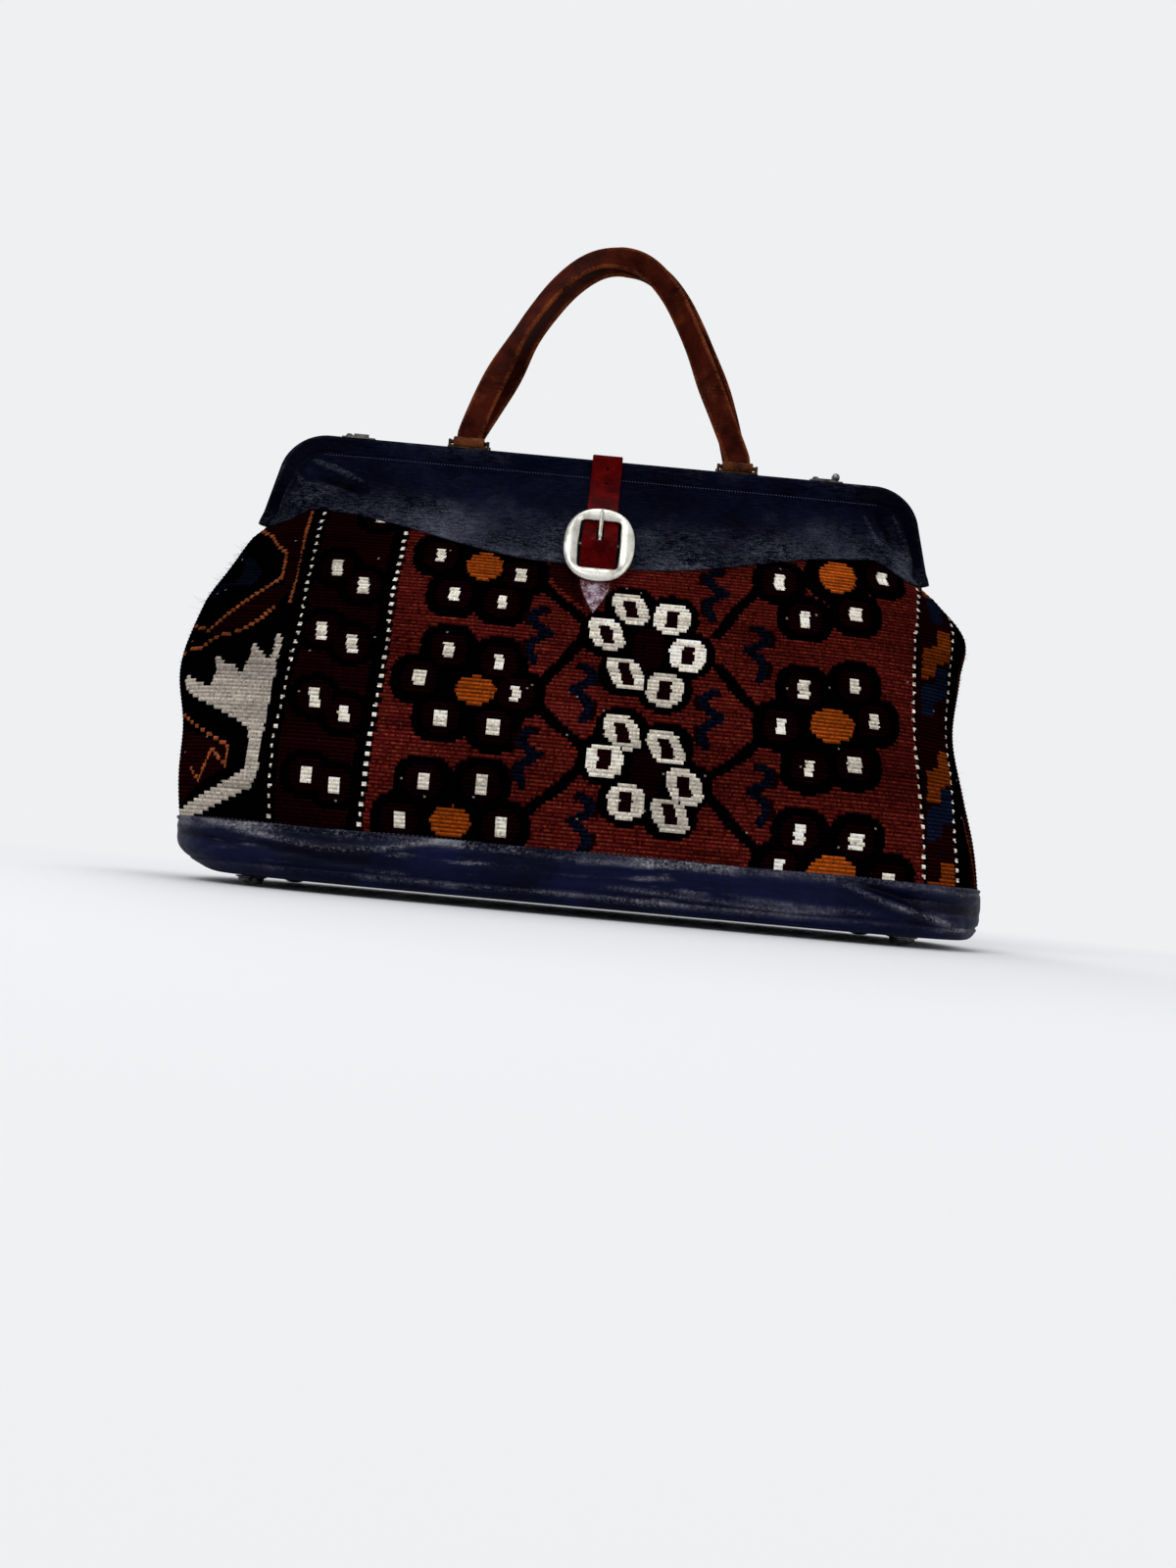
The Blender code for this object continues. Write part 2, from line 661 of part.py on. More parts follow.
def add_strap():
    half = STRAP_THICK / 2
    behind = RIM_LIFT - BAR_LIFT - CLEAR - half - 0.2 * MM
    over = BAR_RADIUS + 0.4 * MM + CHAPE_THICK + CLEAR + half
    reach = BUCKLE_OPEN_HEIGHT / 2
    path = []
    # Up the rear yoke and over the closed frame.
    for k in range(5):
        point = front_face(STRAP_REAR_Z + 7 * MM * k, 0.6 * MM + half)
        path.append(Vector((point.x, -point.y, point.z)))
    edge = RAIL_Y + RAIL_THICK / 2 + CLEAR + half
    top = FRAME_TOP + CLEAR + half
    path.append(Vector((STRAP_X, edge, FRAME_TOP - 6 * MM)))
    path.append(Vector((STRAP_X, edge, FRAME_TOP - 1 * MM)))
    path.append(Vector((STRAP_X, edge - 1.4 * MM, top - 0.2 * MM)))
    path.append(Vector((STRAP_X, edge - 3.5 * MM, top)))
    path.append(Vector((STRAP_X, -edge + 3.5 * MM, top)))
    path.append(Vector((STRAP_X, -edge + 1.4 * MM, top - 0.2 * MM)))
    path.append(Vector((STRAP_X, -edge, FRAME_TOP - 1 * MM)))
    path.append(Vector((STRAP_X, -edge, FRAME_TOP - 9 * MM)))
    # Down the front yoke to the buckle.
    for z, lift in ((331 * MM, 2.6), (318 * MM, 2.0), (306 * MM, 2.6)):
        path.append(front_face(z, lift * MM))
    for u, n in (
        (reach + 10 * MM, behind),
        (reach + 1 * MM, behind),
        (reach - 5 * MM, behind + 1.0 * MM),
        (6.5 * MM, over - 0.9 * MM),
        (2.5 * MM, over),
        (-2.5 * MM, over),
        (-6.5 * MM, over - 0.9 * MM),
        (-reach + 5 * MM, behind + 1.0 * MM),
        (-reach - 1 * MM, behind),
        (-reach - 8 * MM, behind),
    ):
        path.append(in_buckle(0, u, n))
    end = path[-1]
    print_skin = 2 * (CLEAR + PRINT_THICK)
    tip_depth = depth_at(STRAP_X, STRAP_TIP_Z) + print_skin + 1.5 * MM + half
    tip = Vector((STRAP_X, -tip_depth, STRAP_TIP_Z))
    for t in (0.35, 0.7, 0.88, 1.0):
        path.append(end.lerp(tip, t))

    loops = []
    for k, point in enumerate(path):
        before = path[max(0, k - 1)]
        after = path[min(len(path) - 1, k + 1)]
        along = (after - before).normalized()
        normal = Vector((1, 0, 0)).cross(along)
        wide = STRAP_WIDTH / 2
        left = len(path) - 1 - k
        if left < 3:
            wide *= (0.14, 0.5, 0.84)[left]
        loops.append([
            point + Vector((sx * wide, 0, 0)) + normal * sn * half
            for sx, sn in ((1, 1), (-1, 1), (-1, -1), (1, -1))
        ])

    slot_low, slot_high = 1.0 * MM, 15.0 * MM

    def slot_cutter(bm):
        w = PRONG_WIDTH / 2 + 1.1 * MM
        corners = []
        for n in (-7 * MM, 14 * MM):
            corners.append([
                in_buckle(x, u, n) for x, u in ((-w, slot_low), (w, slot_low), (w, slot_high), (-w, slot_high))
            ])
        loft(bm, corners)

    cutters = [slot_cutter]
    for z in STRAP_HOLES:
        point = Vector((STRAP_X, -depth_at(STRAP_X, z), z))
        cutters.append(lambda bm, p=point: disc(bm, p, (0, 1, -0.25), 1.7 * MM, 30 * MM, 12))
    join_and_cut("closure_strap", RED, [lambda bm: loft(bm, loops)], cutters)


def oval(width, height, power, count):
    points = []
    for k in range(count):
        a = 2 * math.pi * (k + 0.5) / count
        c, s = math.cos(a), math.sin(a)
        points.append((
            width / 2 * math.copysign(abs(c) ** (2 / power), c),
            height / 2 * math.copysign(abs(s) ** (2 / power), s),
        ))
    return points


def add_buckle():
    rim = RIM_LIFT - BAR_LIFT
    outside = oval(BUCKLE_WIDTH, BUCKLE_HEIGHT, 2.7, 40)
    inside = oval(BUCKLE_OPEN_WIDTH, BUCKLE_OPEN_HEIGHT, 7.0, 40)

    def ring(bm):
        low, high = rim, rim + BUCKLE_THICK
        rows = (
            (outside, low),
            (outside, low + 1.4 * MM),
            ([(x * 0.9, u * 0.91) for x, u in outside], high),
            ([(x * 1.12, u * 1.09) for x, u in inside], high),
            (inside, low + 1.6 * MM),
            (inside, low),
        )
        loops = [[bm.verts.new(in_buckle(x, u, n)) for x, u in points] for points, n in rows]
        for a, b in zip(loops, loops[1:] + loops[:1]):
            for i in range(40):
                j = (i + 1) % 40
                bm.faces.new((a[i], a[j], b[j], b[i]))

    def bar(bm):
        disc(bm, in_buckle(0, 0, 0), (1, 0, 0), BAR_RADIUS, BUCKLE_OPEN_WIDTH + 6 * MM, 16)

    pivot, up, out = buckle_frame_of()
    obj = join_and_cut("buckle_frame", CHROME, [ring, bar])
    set_origin(obj, pivot)

    over_rim = rim + BUCKLE_THICK + CLEAR + PRONG_WIDTH / 2 * 0.7
    eye = BAR_RADIUS + 1.6 * MM

    def prong_eye(bm):
        disc(bm, in_buckle(0, 0, 0), (1, 0, 0), eye, PRONG_WIDTH, 20)

    def prong_body(bm):
        points = [
            in_buckle(0, 0.8 * MM, eye - 0.9 * MM),
            in_buckle(0, 8 * MM, over_rim - 0.1 * MM),
            in_buckle(0, BUCKLE_OPEN_HEIGHT / 2, over_rim),
            in_buckle(0, BUCKLE_HEIGHT / 2 - 3 * MM, over_rim),
        ]
        sweep(bm, points, (1, 0, 0), PRONG_WIDTH / 2, PRONG_WIDTH / 2 * 0.7, 0.6)

    def prong_hole(bm):
        disc(bm, in_buckle(0, 0, 0), (1, 0, 0), BAR_RADIUS + 0.25 * MM, 9 * MM, 20)

    obj = join_and_cut("buckle_prong", CHROME, [prong_eye, prong_body], [prong_hole])
    set_origin(obj, pivot)

    loop = BAR_RADIUS + 0.4 * MM

    def chape_loop(bm):
        disc(bm, in_buckle(0, 0, 0), (1, 0, 0), loop + CHAPE_THICK, CHAPE_WIDTH, 20)

    def chape_tab(bm):
        low = -BAR_LIFT + 0.5 * MM
        mid = -(loop + CHAPE_THICK / 2)
        points = [
            in_buckle(0, 0, mid),
            in_buckle(0, -6 * MM, (low + mid) / 2),
            in_buckle(0, -14 * MM, low + CHAPE_THICK / 2),
            in_buckle(0, -26 * MM, low + CHAPE_THICK / 2),
        ]
        sweep(bm, points, (1, 0, 0), CHAPE_WIDTH / 2, CHAPE_THICK / 2 + 0.05 * MM, 0.3)

    def chape_hole(bm):
        disc(bm, in_buckle(0, 0, 0), (1, 0, 0), loop, CHAPE_WIDTH + 4 * MM, 20)

    def chape_slot(bm):
        w = PRONG_WIDTH / 2 + 0.8 * MM
        corners = []
        for n in (-6 * MM, 9 * MM):
            corners.append([
                in_buckle(x, u, n) for x, u in ((-w, -7 * MM), (w, -7 * MM), (w, 9 * MM), (-w, 9 * MM))
            ])
        loft(bm, corners)

    join_and_cut("buckle_chape", RED, [chape_loop, chape_tab], [chape_hole, chape_slot])


def add_catches():
    foot = FRAME_TOP + CLEAR
    plate = 1.0 * MM
    lever_low = foot + plate + CLEAR
    head = lever_low + CATCH_THICK + CLEAR + 0.5 * MM
    for pivot_x, word in ((CATCH_LEFT, "left"), (CATCH_RIGHT, "right")):
        x = FRAME_SHIFT + pivot_x
        y = -RAIL_Y
        join_and_cut(
            f"{word}_catch_plate",
            STEEL,
            [
                lambda bm, x=x: box(
                    bm, (x - 5 * MM, y - 3.8 * MM, foot), (x + 21 * MM, y + 3.8 * MM, foot + plate)
                ),
                lambda bm, x=x: disc(
                    bm, Vector((x, y, lever_low + 0.9 * MM)), (0, 0, 1), 1.3 * MM, 3.2 * MM, 16
                ),
                lambda bm, x=x: disc(bm, Vector((x, y, head)), (0, 0, 1), 2.2 * MM, 1.0 * MM, 16),
            ],
        )
        end = x + CATCH_REACH
        mid = lever_low + CATCH_THICK / 2
        solids = [
            lambda bm, x=x: disc(bm, Vector((x, y, mid)), (0, 0, 1), 3.0 * MM, CATCH_THICK, 20),
            lambda bm, x=x, e=end: box(
                bm, (x, y - 2.6 * MM, lever_low), (e + 2 * MM, y + 2.6 * MM, lever_low + CATCH_THICK)
            ),
        ]
        cutters = [lambda bm, x=x: disc(bm, Vector((x, y, mid)), (0, 0, 1), 1.45 * MM, 4 * MM, 16)]
        if word == "left":
            # The flat lever has a folded edge and a hole at its free end.
            solids.append(lambda bm, x=x, e=end: box(
                bm, (x + 4 * MM, y - 2.6 * MM, lever_low), (e + 2 * MM, y - 1.5 * MM, lever_low + 2.6 * MM)
            ))
            hole = Vector((end - 1.5 * MM, y + 0.6 * MM, mid))
            cutters.append(lambda bm, p=hole: disc(bm, p, (0, 0, 1), 1.2 * MM, 4 * MM, 12))
        else:
            # The looped lever carries a ball at its free end.
            cutters.append(lambda bm, x=x, e=end: box(
                bm,
                (x + 3.6 * MM, y - 1.2 * MM, lever_low - 1 * MM),
                (e - 2.6 * MM, y + 1.2 * MM, lever_low + 4 * MM),
            ))
            solids.append(lambda bm, e=end: ball(bm, Vector((e + 2.2 * MM, y, lever_low + 3.6 * MM)), 3.4 * MM))
        obj = join_and_cut(f"{word}_catch_lever", CHROME if word == "right" else STEEL, solids, cutters)
        set_origin(obj, (x, y, lever_low))
        bm = bmesh.new()
        keeper = Vector((x, CATCH_REACH - RAIL_Y - 1.0 * MM, foot + 0.45 * MM))
        disc(bm, keeper, (0, 0, 1), 2.4 * MM, 0.9 * MM, 16)
        finish_object(f"{word}_catch_keeper", bm, STEEL)


def ball(bm, centre, radius):
    made = bmesh.ops.create_uvsphere(bm, u_segments=12, v_segments=8, radius=radius)
    bmesh.ops.translate(bm, verts=made["verts"], vec=centre)


def print_strip(name, look, first, last, side=-1):
    """A field of woven colour: a thin skin over the kilim between two of its upright lines."""
    low = BASE_BAND_TOP + CLEAR
    steps = across_steps(PANEL_STEPS)[PANEL_STEPS + first : PANEL_STEPS + last + 1]
    steps[0] += 0.0012
    steps[-1] -= 0.0012
    bm = bmesh.new()
    outer, inner = [], []
    for r in range(PANEL_ROWS + 1):
        share = r / PANEL_ROWS
        if r == PANEL_ROWS:
            share -= 0.006
        outer.append([panel_point(u, share, low, -CLEAR - PRINT_THICK, side) for u in steps])
        inner.append([panel_point(u, share, low, -CLEAR, side) for u in steps])
    slab(bm, outer, inner)
    finish_object(name, bm, look, 50)


def print_flower(name, look, centre_x, centre_z, radius, dip, petals, lift):
    """A rosette of petals as one thin skin over the kilim."""
    count = petals * 4
    bm = bmesh.new()

    def skin(x, z, off):
        return Vector((x, -(depth_at(x, z) + off), z))

    faces = {}
    for layer, off in (("out", lift + PRINT_THICK), ("back", lift)):
        rings = []
        for share in (0.5, 1.0):
            ring = []
            for k in range(count):
                a = 2 * math.pi * k / count
                wave = abs(math.cos(petals * (a - math.pi / 2) / 2)) ** 0.6
                r = radius * (dip + (1 - dip) * wave) * share
                ring.append(bm.verts.new(skin(centre_x + r * math.sin(a), centre_z + r * math.cos(a), off)))
            rings.append(ring)
        faces[layer] = (bm.verts.new(skin(centre_x, centre_z, off)), rings)
    for layer in ("out", "back"):
        hub, rings = faces[layer]
        for k in range(count):
            j = (k + 1) % count
            bm.faces.new((hub, rings[0][k], rings[0][j]))
            bm.faces.new((rings[0][k], rings[1][k], rings[1][j], rings[0][j]))
    outline, under = faces["out"][1][1], faces["back"][1][1]
    for k in range(count):
        j = (k + 1) % count
        bm.faces.new((outline[k], under[k], under[j], outline[j]))
    finish_object(name, bm, look, 50)


def add_print():
    """The kilim's larger fields of colour and its rosettes, on the front, and plain bands on the rear."""
    print_strip("print_left_field", BLACK, -11, -6)
    print_strip("print_left_band", MAROON, -6, -4)
    print_strip("print_middle_field", BLACK, 0, 3)
    print_strip("print_right_border", ORANGE, 8, 10)
    print_strip("print_right_edge", MAROON, 10, 12)
    over = CLEAR + PRINT_THICK + CLEAR
    for word, z in (("upper", 192 * MM), ("lower", 104 * MM)):
        print_flower(f"print_{word}_rings", CREAM, RINGS_X, z, 42 * MM, 0.62, 6, over)
    spots = (
        (-90, 234), (-86, 151), (-93, 72),
        (162, 248), (167, 151), (170, 72),
    )
    for k, (x, z) in enumerate(spots):
        print_flower(f"print_rosette_{k + 1}", MAROON, x * MM, z * MM, 26 * MM, 0.6, 6, CLEAR)
    print_strip("print_rear_left", MAROON, -6, -4, 1)
    print_strip("print_rear_middle", BLACK, -2, 2, 1)
    print_strip("print_rear_right", MAROON, 4, 6, 1)


def build():
    clear_scene()
    add_base()
    add_kilim()
    add_lining()
    add_yokes()
    add_frames()
    add_handles()
    add_strap()
    add_buckle()
    add_catches()
    add_print()
    # The tub leans, so its middle isn't over the middle of its feet.
    for obj in bpy.data.objects:
        obj.location.x += CENTRE_SHIFT


build()
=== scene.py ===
import math

import bmesh
import bpy
import numpy as np
from mathutils import Matrix, Vector, noise


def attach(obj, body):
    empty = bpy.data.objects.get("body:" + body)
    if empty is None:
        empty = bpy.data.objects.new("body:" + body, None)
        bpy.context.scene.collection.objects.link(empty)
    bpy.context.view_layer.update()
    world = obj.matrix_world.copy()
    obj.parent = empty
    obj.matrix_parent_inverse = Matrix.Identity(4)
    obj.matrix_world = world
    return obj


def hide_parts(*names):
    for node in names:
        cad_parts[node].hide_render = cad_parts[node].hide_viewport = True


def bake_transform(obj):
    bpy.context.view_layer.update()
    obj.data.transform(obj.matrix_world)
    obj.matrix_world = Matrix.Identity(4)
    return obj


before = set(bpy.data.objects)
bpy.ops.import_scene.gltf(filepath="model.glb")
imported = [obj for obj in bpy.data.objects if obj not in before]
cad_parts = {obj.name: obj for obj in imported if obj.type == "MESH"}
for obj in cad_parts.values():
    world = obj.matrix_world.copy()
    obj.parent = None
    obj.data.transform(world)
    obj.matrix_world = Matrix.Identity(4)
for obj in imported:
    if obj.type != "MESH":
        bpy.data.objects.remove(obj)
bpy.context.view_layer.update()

MM = 0.001
X, Z = Vector((1, 0, 0)), Vector((0, 0, 1))
ALONG_X, ALONG_Y = np.array((1.0, 0.0, 0.0)), np.array((0.0, 1.0, 0.0))

# The bag's sizes, as its solids have them. Sizes along X are counted from the middle of the feet,
# and each finished piece then moves by CENTRE_SHIFT with the solids.
CENTRE_SHIFT = 8.5 * MM
FOOT_HEIGHT = 6.6 * MM
FOOT_RADIUS = 9.0 * MM
FOOT_X = 234 * MM
FOOT_Y = 64 * MM
BAND_TOP = 43 * MM
FLOOR = FOOT_HEIGHT + 0.3 * MM
FRAME_SHIFT = -12 * MM
FRAME_TOP = 352 * MM
PIVOT_Z = 280 * MM
PIVOT_HALF = 253.5 * MM
RAIL_HEIGHT = 14 * MM
RAIL_THICK = 9.4 * MM
RAIL_Y = 6 * MM
RAIL_BOTTOM = FRAME_TOP - RAIL_HEIGHT
RAIL_MIDDLE = FRAME_TOP - RAIL_HEIGHT / 2
CORNER_RADIUS = 28 * MM
ARM_FLARE = math.radians(15)
ARM_END_Z = PIVOT_Z - 5 * MM
HANDLE_HALF = 106 * MM
HANDLE_WIDTH = 19.5 * MM
HANDLE_RISE = 161 * MM
STAPLE_Z = 358 * MM
STRAP_X = -8 * MM
STRAP_WIDTH = 23.5 * MM
STRAP_TIP_Z = 216 * MM
BUCKLE_Z = 267.5 * MM
BUCKLE_SIZE = (52 * MM, 64 * MM)
BUCKLE_OPENING = (27 * MM, 41 * MM)
BAR_LIFT = 4.6 * MM
RIM_LIFT = 5.4 * MM
STITCH_ROW = 1.4 * MM
YOKE_SKIN = 0.9 * MM
STITCH_REACH = 218 * MM
PANEL_COLUMNS = 481
BASE_COLUMNS = 640
HAIR_WIDTH = 0.09 * MM
STRAP_HALF_THICK = 1.15 * MM

# Height, half width, lean and half depth of the tub, in millimetres. The cloth stands a little
# prouder than the solids at its ends, where the stuffed bag bulges.
STATIONS = np.array((
    (6.9, 287.5, 9.5, 96),
    (22, 299.5, 0.8, 99),
    (43, 301, -2, 100),
    (75, 300.5, -7, 103),
    (110, 297, -12, 103),
    (156, 296, -21.5, 97),
    (205, 293, -14.5, 84),
    (234, 287, -6.5, 73),
    (262, 268, -11, 61.7),
    (268, 261, -12, 59.5),
    (280, 248, -12, 54.5),
    (295, 245.5, -12, 46),
    (305, 243.5, -12, 36.5),
    (315, 241.5, -12, 27),
    (325, 240.5, -12, 18.5),
    (333, 240, -12, 13),
    (339, 239.5, -12, 11.0),
    (352, 239.5, -12, 11.0),
)) * MM


# ---------------------------------------------------------------- the tub's shape

def ease(low, high, value):
    """A smooth step from 0 at low to 1 at high."""
    t = np.clip((np.asarray(value, float) - low) / (high - low), 0, 1)
    return t * t * (3 - 2 * t)


def station(z, column):
    """One column of STATIONS at this height, on a smooth curve."""
    z = np.clip(np.asarray(z, float), STATIONS[0, 0], STATIONS[-1, 0])
    k = np.clip(np.searchsorted(STATIONS[:, 0], z) - 1, 0, len(STATIONS) - 2)
    before, after = np.maximum(k - 1, 0), np.minimum(k + 2, len(STATIONS) - 1)
    h, c = STATIONS[:, 0], STATIONS[:, column]
    span = h[k + 1] - h[k]
    t = (z - h[k]) / span
    slope_a = (c[k + 1] - c[before]) / (h[k + 1] - h[before]) * span
    slope_b = (c[after] - c[k]) / (h[after] - h[k]) * span
    t2, t3 = t * t, t ** 3
    return (
        (2 * t3 - 3 * t2 + 1) * c[k] + (t3 - 2 * t2 + t) * slope_a + (3 * t2 - 2 * t3) * c[k + 1]
        + (t3 - t2) * slope_b
    )


def plan_power(z):
    """How square the tub's plan is at this height."""
    return 6.5 - 2.5 * ease(BAND_TOP, 190 * MM, z)


def depth_at(x, z, inset=0.0):
    """How far the tub's face stands from the middle plane."""
    half, deep = station(z, 1) - inset, station(z, 3) - inset
    edge = np.minimum(RAIL_Y * ease(PIVOT_Z - 18 * MM, PIVOT_Z + 8 * MM, z), deep)
    u = np.minimum(1.0, np.abs(x - station(z, 2)) / half)
    return edge + (deep - edge) * (1 - u ** plan_power(z)) ** 0.4


def kilim_edge(x):
    """Height of the kilim's upper edge, under the yoke."""
    away = np.abs(np.asarray(x, float) - FRAME_SHIFT)
    rise = 258 * MM + 29 * MM * ease(30 * MM, 215 * MM, away)
    return rise + (270 * MM - rise) * ease(205 * MM, 243 * MM, away)


def outline(z, inset=0.0, samples=801):
    """Half the tub's outline at this height, left to right, with its running length counted from x = 0."""
    half, deep = float(station(z, 1)) - inset, float(station(z, 3)) - inset
    edge = min(float(RAIL_Y * ease(PIVOT_Z - 18 * MM, PIVOT_Z + 8 * MM, z)), deep)
    t = np.linspace(-1, 1, samples)
    u = np.sign(t) * (1 - (1 - np.abs(t)) ** 3)
    x = float(station(z, 2)) + half * u
    y = edge + (deep - edge) * np.maximum(0, 1 - np.abs(u) ** float(plan_power(z))) ** 0.4
    run = running(x, y)
    run -= np.interp(0.0, x, run)
    return x, y, run


def running(*columns):
    """The running length of a line, given as its columns of coordinates."""
    steps = np.sqrt(sum(np.diff(column) ** 2 for column in columns))
    return np.concatenate([[0], np.cumsum(steps)])


def fbm(x, y, z, size, octaves=3, seed=0):
    """Smooth seeded noise over arrays of points, from -1 to 1."""
    shape = np.broadcast(x, y, z).shape
    xs, ys, zs = (np.broadcast_to(a, shape).ravel() / size for a in (x, y, z))
    off = Vector((seed * 7.31, seed * 3.17, seed * 5.73))
    out = [noise.fractal(Vector(p) + off, 0.9, 2.1, octaves) for p in zip(xs, ys, zs)]
    return np.clip(np.array(out).reshape(shape), -1.5, 1.5)


# ---------------------------------------------------------------- making meshes

def deselect():
    """Leaves edit mode and selects nothing."""
    if bpy.context.mode != "OBJECT":
        bpy.ops.object.mode_set(mode="OBJECT")
    bpy.ops.object.select_all(action="DESELECT")


def placed(name, data):
    """A new object in the scene that shows this data."""
    obj = bpy.data.objects.new(name, data)
    bpy.context.scene.collection.objects.link(obj)
    return obj


def chosen(obj):
    """Makes the object the one that the next operators work on."""
    deselect()
    bpy.context.view_layer.objects.active = obj
    obj.select_set(True)


def make_piece(name, points, faces, look, sharp=None):
    """A smooth piece of one look. Faces is a list or a whole array."""
    mesh = bpy.data.meshes.new(name)
    faces = faces.tolist() if isinstance(faces, np.ndarray) else faces
    mesh.from_pydata(np.asarray(points).reshape(-1, 3).tolist(), [], faces)
    mesh.materials.append(look)
    mesh.shade_smooth()
    if sharp:
        mesh.set_sharp_from_angle(angle=math.radians(sharp))
    return placed(name, mesh)


def grid_faces(rows, columns, wrap=False, start=0, flip=False):
    """The quads between a grid's points, numbered row by row."""
    r, c = np.meshgrid(np.arange(rows - 1), np.arange(columns if wrap else columns - 1), indexing="ij")
    d = (c + 1) % columns
    quads = np.stack(
        [r * columns + c, r * columns + d, (r + 1) * columns + d, (r + 1) * columns + c], -1
    ).reshape(-1, 4)
    return (quads[:, ::-1] if flip else quads) + start


def set_value(obj, name, values):
    """A number on each point, which the material reads."""
    made = obj.data.attributes.new(name, "FLOAT", "POINT")
    made.data.foreach_set("value", np.asarray(values, np.float32).ravel())


def set_shell_value(obj, name, values, first=0.0, last=0.0):
    """The same for a shell piece, whose last two points are the middles of its ends."""
    set_value(obj, name, np.concatenate([np.clip(values, 0, 1).ravel(), [first, last]]))


def set_uv(obj, values):
    """A UV from one pair of numbers for each point."""
    layer = obj.data.uv_layers.new(name="cloth")
    index = np.empty(len(obj.data.loops), np.int32)
    obj.data.loops.foreach_get("vertex_index", index)
    layer.data.foreach_set("uv", np.asarray(values, np.float32).reshape(-1, 2)[index].ravel())


def normals_of(grid, wrap=False):
    """Unit normals over a grid of points."""
    if wrap:
        across = np.roll(grid, -1, 1) - np.roll(grid, 1, 1)
    else:
        across = np.gradient(grid, axis=1)
    n = np.cross(across, np.gradient(grid, axis=0))
    return n / np.maximum(np.linalg.norm(n, axis=2, keepdims=True), 1e-12)


def normals_facing(grid, side):
    """Unit normals over the grid, turned to the side (-1 front, 1 rear) that the grid is on."""
    found = normals_of(grid)
    return found if found[len(grid) // 2, grid.shape[1] // 2, 1] * side > 0 else -found


def slab_piece(name, outer, inner, look, flip=False):
    """A closed sheet from two equal grids."""
    rows, columns = outer.shape[:2]
    count = rows * columns
    front = grid_faces(rows, columns, flip=flip)
    back = grid_faces(rows, columns, start=count, flip=not flip)
    ring = [c for c in range(columns)]
    ring += [r * columns + columns - 1 for r in range(1, rows)]
    ring += [(rows - 1) * columns + c for c in range(columns - 2, -1, -1)]
    ring += [r * columns for r in range(rows - 2, 0, -1)]
    ring = np.array(ring)
    nxt = np.roll(ring, -1)
    rim = np.stack([nxt, ring, ring + count, nxt + count], -1)
    if flip:
        rim = rim[:, ::-1]
    return make_piece(
        name, np.concatenate([outer.reshape(-1, 3), inner.reshape(-1, 3)]),
        np.concatenate([front, back, rim]), look
    )


def shell_piece(name, grid, centres, look):
    """A closed piece from level rings, with a point in the middle of its first and its last ring."""
    rows, count = grid.shape[:2]
    points = np.concatenate([grid.reshape(-1, 3), centres])
    faces = grid_faces(rows, count, wrap=True).tolist()
    last = (rows - 1) * count
    for k in range(count):
        j = (k + 1) % count
        faces.append((j, k, len(points) - 2))
        faces.append((last + k, last + j, len(points) - 1))
    obj = make_piece(name, points, faces, look)
    outward(obj)
    return obj


def smooth_path(points, count):
    """A smooth curve through the points, evenly spaced."""
    p = np.array([tuple(v) for v in points])
    ext = np.vstack([2 * p[0] - p[1], p, 2 * p[-1] - p[-2]])
    dense = []
    for k in range(1, len(ext) - 2):
        a, b, c, d = ext[k - 1:k + 3]
        for t in np.linspace(0, 1, 24, endpoint=False):
            dense.append(
                0.5
                * (
                    2 * b + (c - a) * t + (2 * a - 5 * b + 4 * c - d) * t * t + (3 * b - a - 3 * c + d)
                    * t ** 3
                )
            )
    dense.append(p[-1])
    dense = np.array(dense)
    run = running(*dense.T)
    at = np.linspace(0, run[-1], count)
    return np.stack([np.interp(at, run, dense[:, i]) for i in range(3)], -1), at


def band_section(half_wide, half_thick, corner=0.9, sides=7):
    """The rounded section of a flat strap: pairs of across and through, and how near each is to an edge."""
    r = half_thick * corner
    pts, edge = [], []
    for sx, sn, a0 in ((1, 1, 0), (-1, 1, 90), (-1, -1, 180), (1, -1, 270)):
        for k in range(4):
            a = math.radians(a0 + 90 * k / 3)
            pts.append((sx * (half_wide - r) + r * math.cos(a), sn * (half_thick - r) + r * math.sin(a)))
            edge.append(1.0)
        if sx == sn:
            for t in np.linspace(0, 1, sides + 2)[1:-1]:
                w = sx * (half_wide - r) * (1 - 2 * t)
                pts.append((w, sn * half_thick))
                edge.append(0.0)
    return np.array(pts), np.array(edge)


def sweep_piece(name, path, across, section, look, widths=None, bulge=None):
    """Sweeps a section along a path. Across is one direction of its width for each point of the path."""
    along = np.gradient(path, axis=0)
    along /= np.linalg.norm(along, axis=1, keepdims=True)
    across = np.broadcast_to(across, path.shape)
    across = across - along * np.sum(across * along, axis=1, keepdims=True)
    across = across / np.linalg.norm(across, axis=1, keepdims=True)
    through = np.cross(along, across)
    w = section[None, :, 0] * (1 if widths is None else np.asarray(widths)[:, None])
    grid = (
        path[:, None, :] + across[:, None, :] * w[..., None]
        + through[:, None, :] * section[None, :, 1, None]
    )
    if bulge is not None:
        grid = grid + through[:, None, :] * bulge[..., None]
    return shell_piece(name, grid, path[[0, -1]], look), grid


def outward(obj):
    """Turns every face of a closed piece outward."""
    bm = bmesh.new()
    bm.from_mesh(obj.data)
    bmesh.ops.recalc_face_normals(bm, faces=bm.faces)
    if bm.calc_volume(signed=True) < 0:
        bmesh.ops.reverse_faces(bm, faces=bm.faces)
    bm.to_mesh(obj.data)
    bm.free()


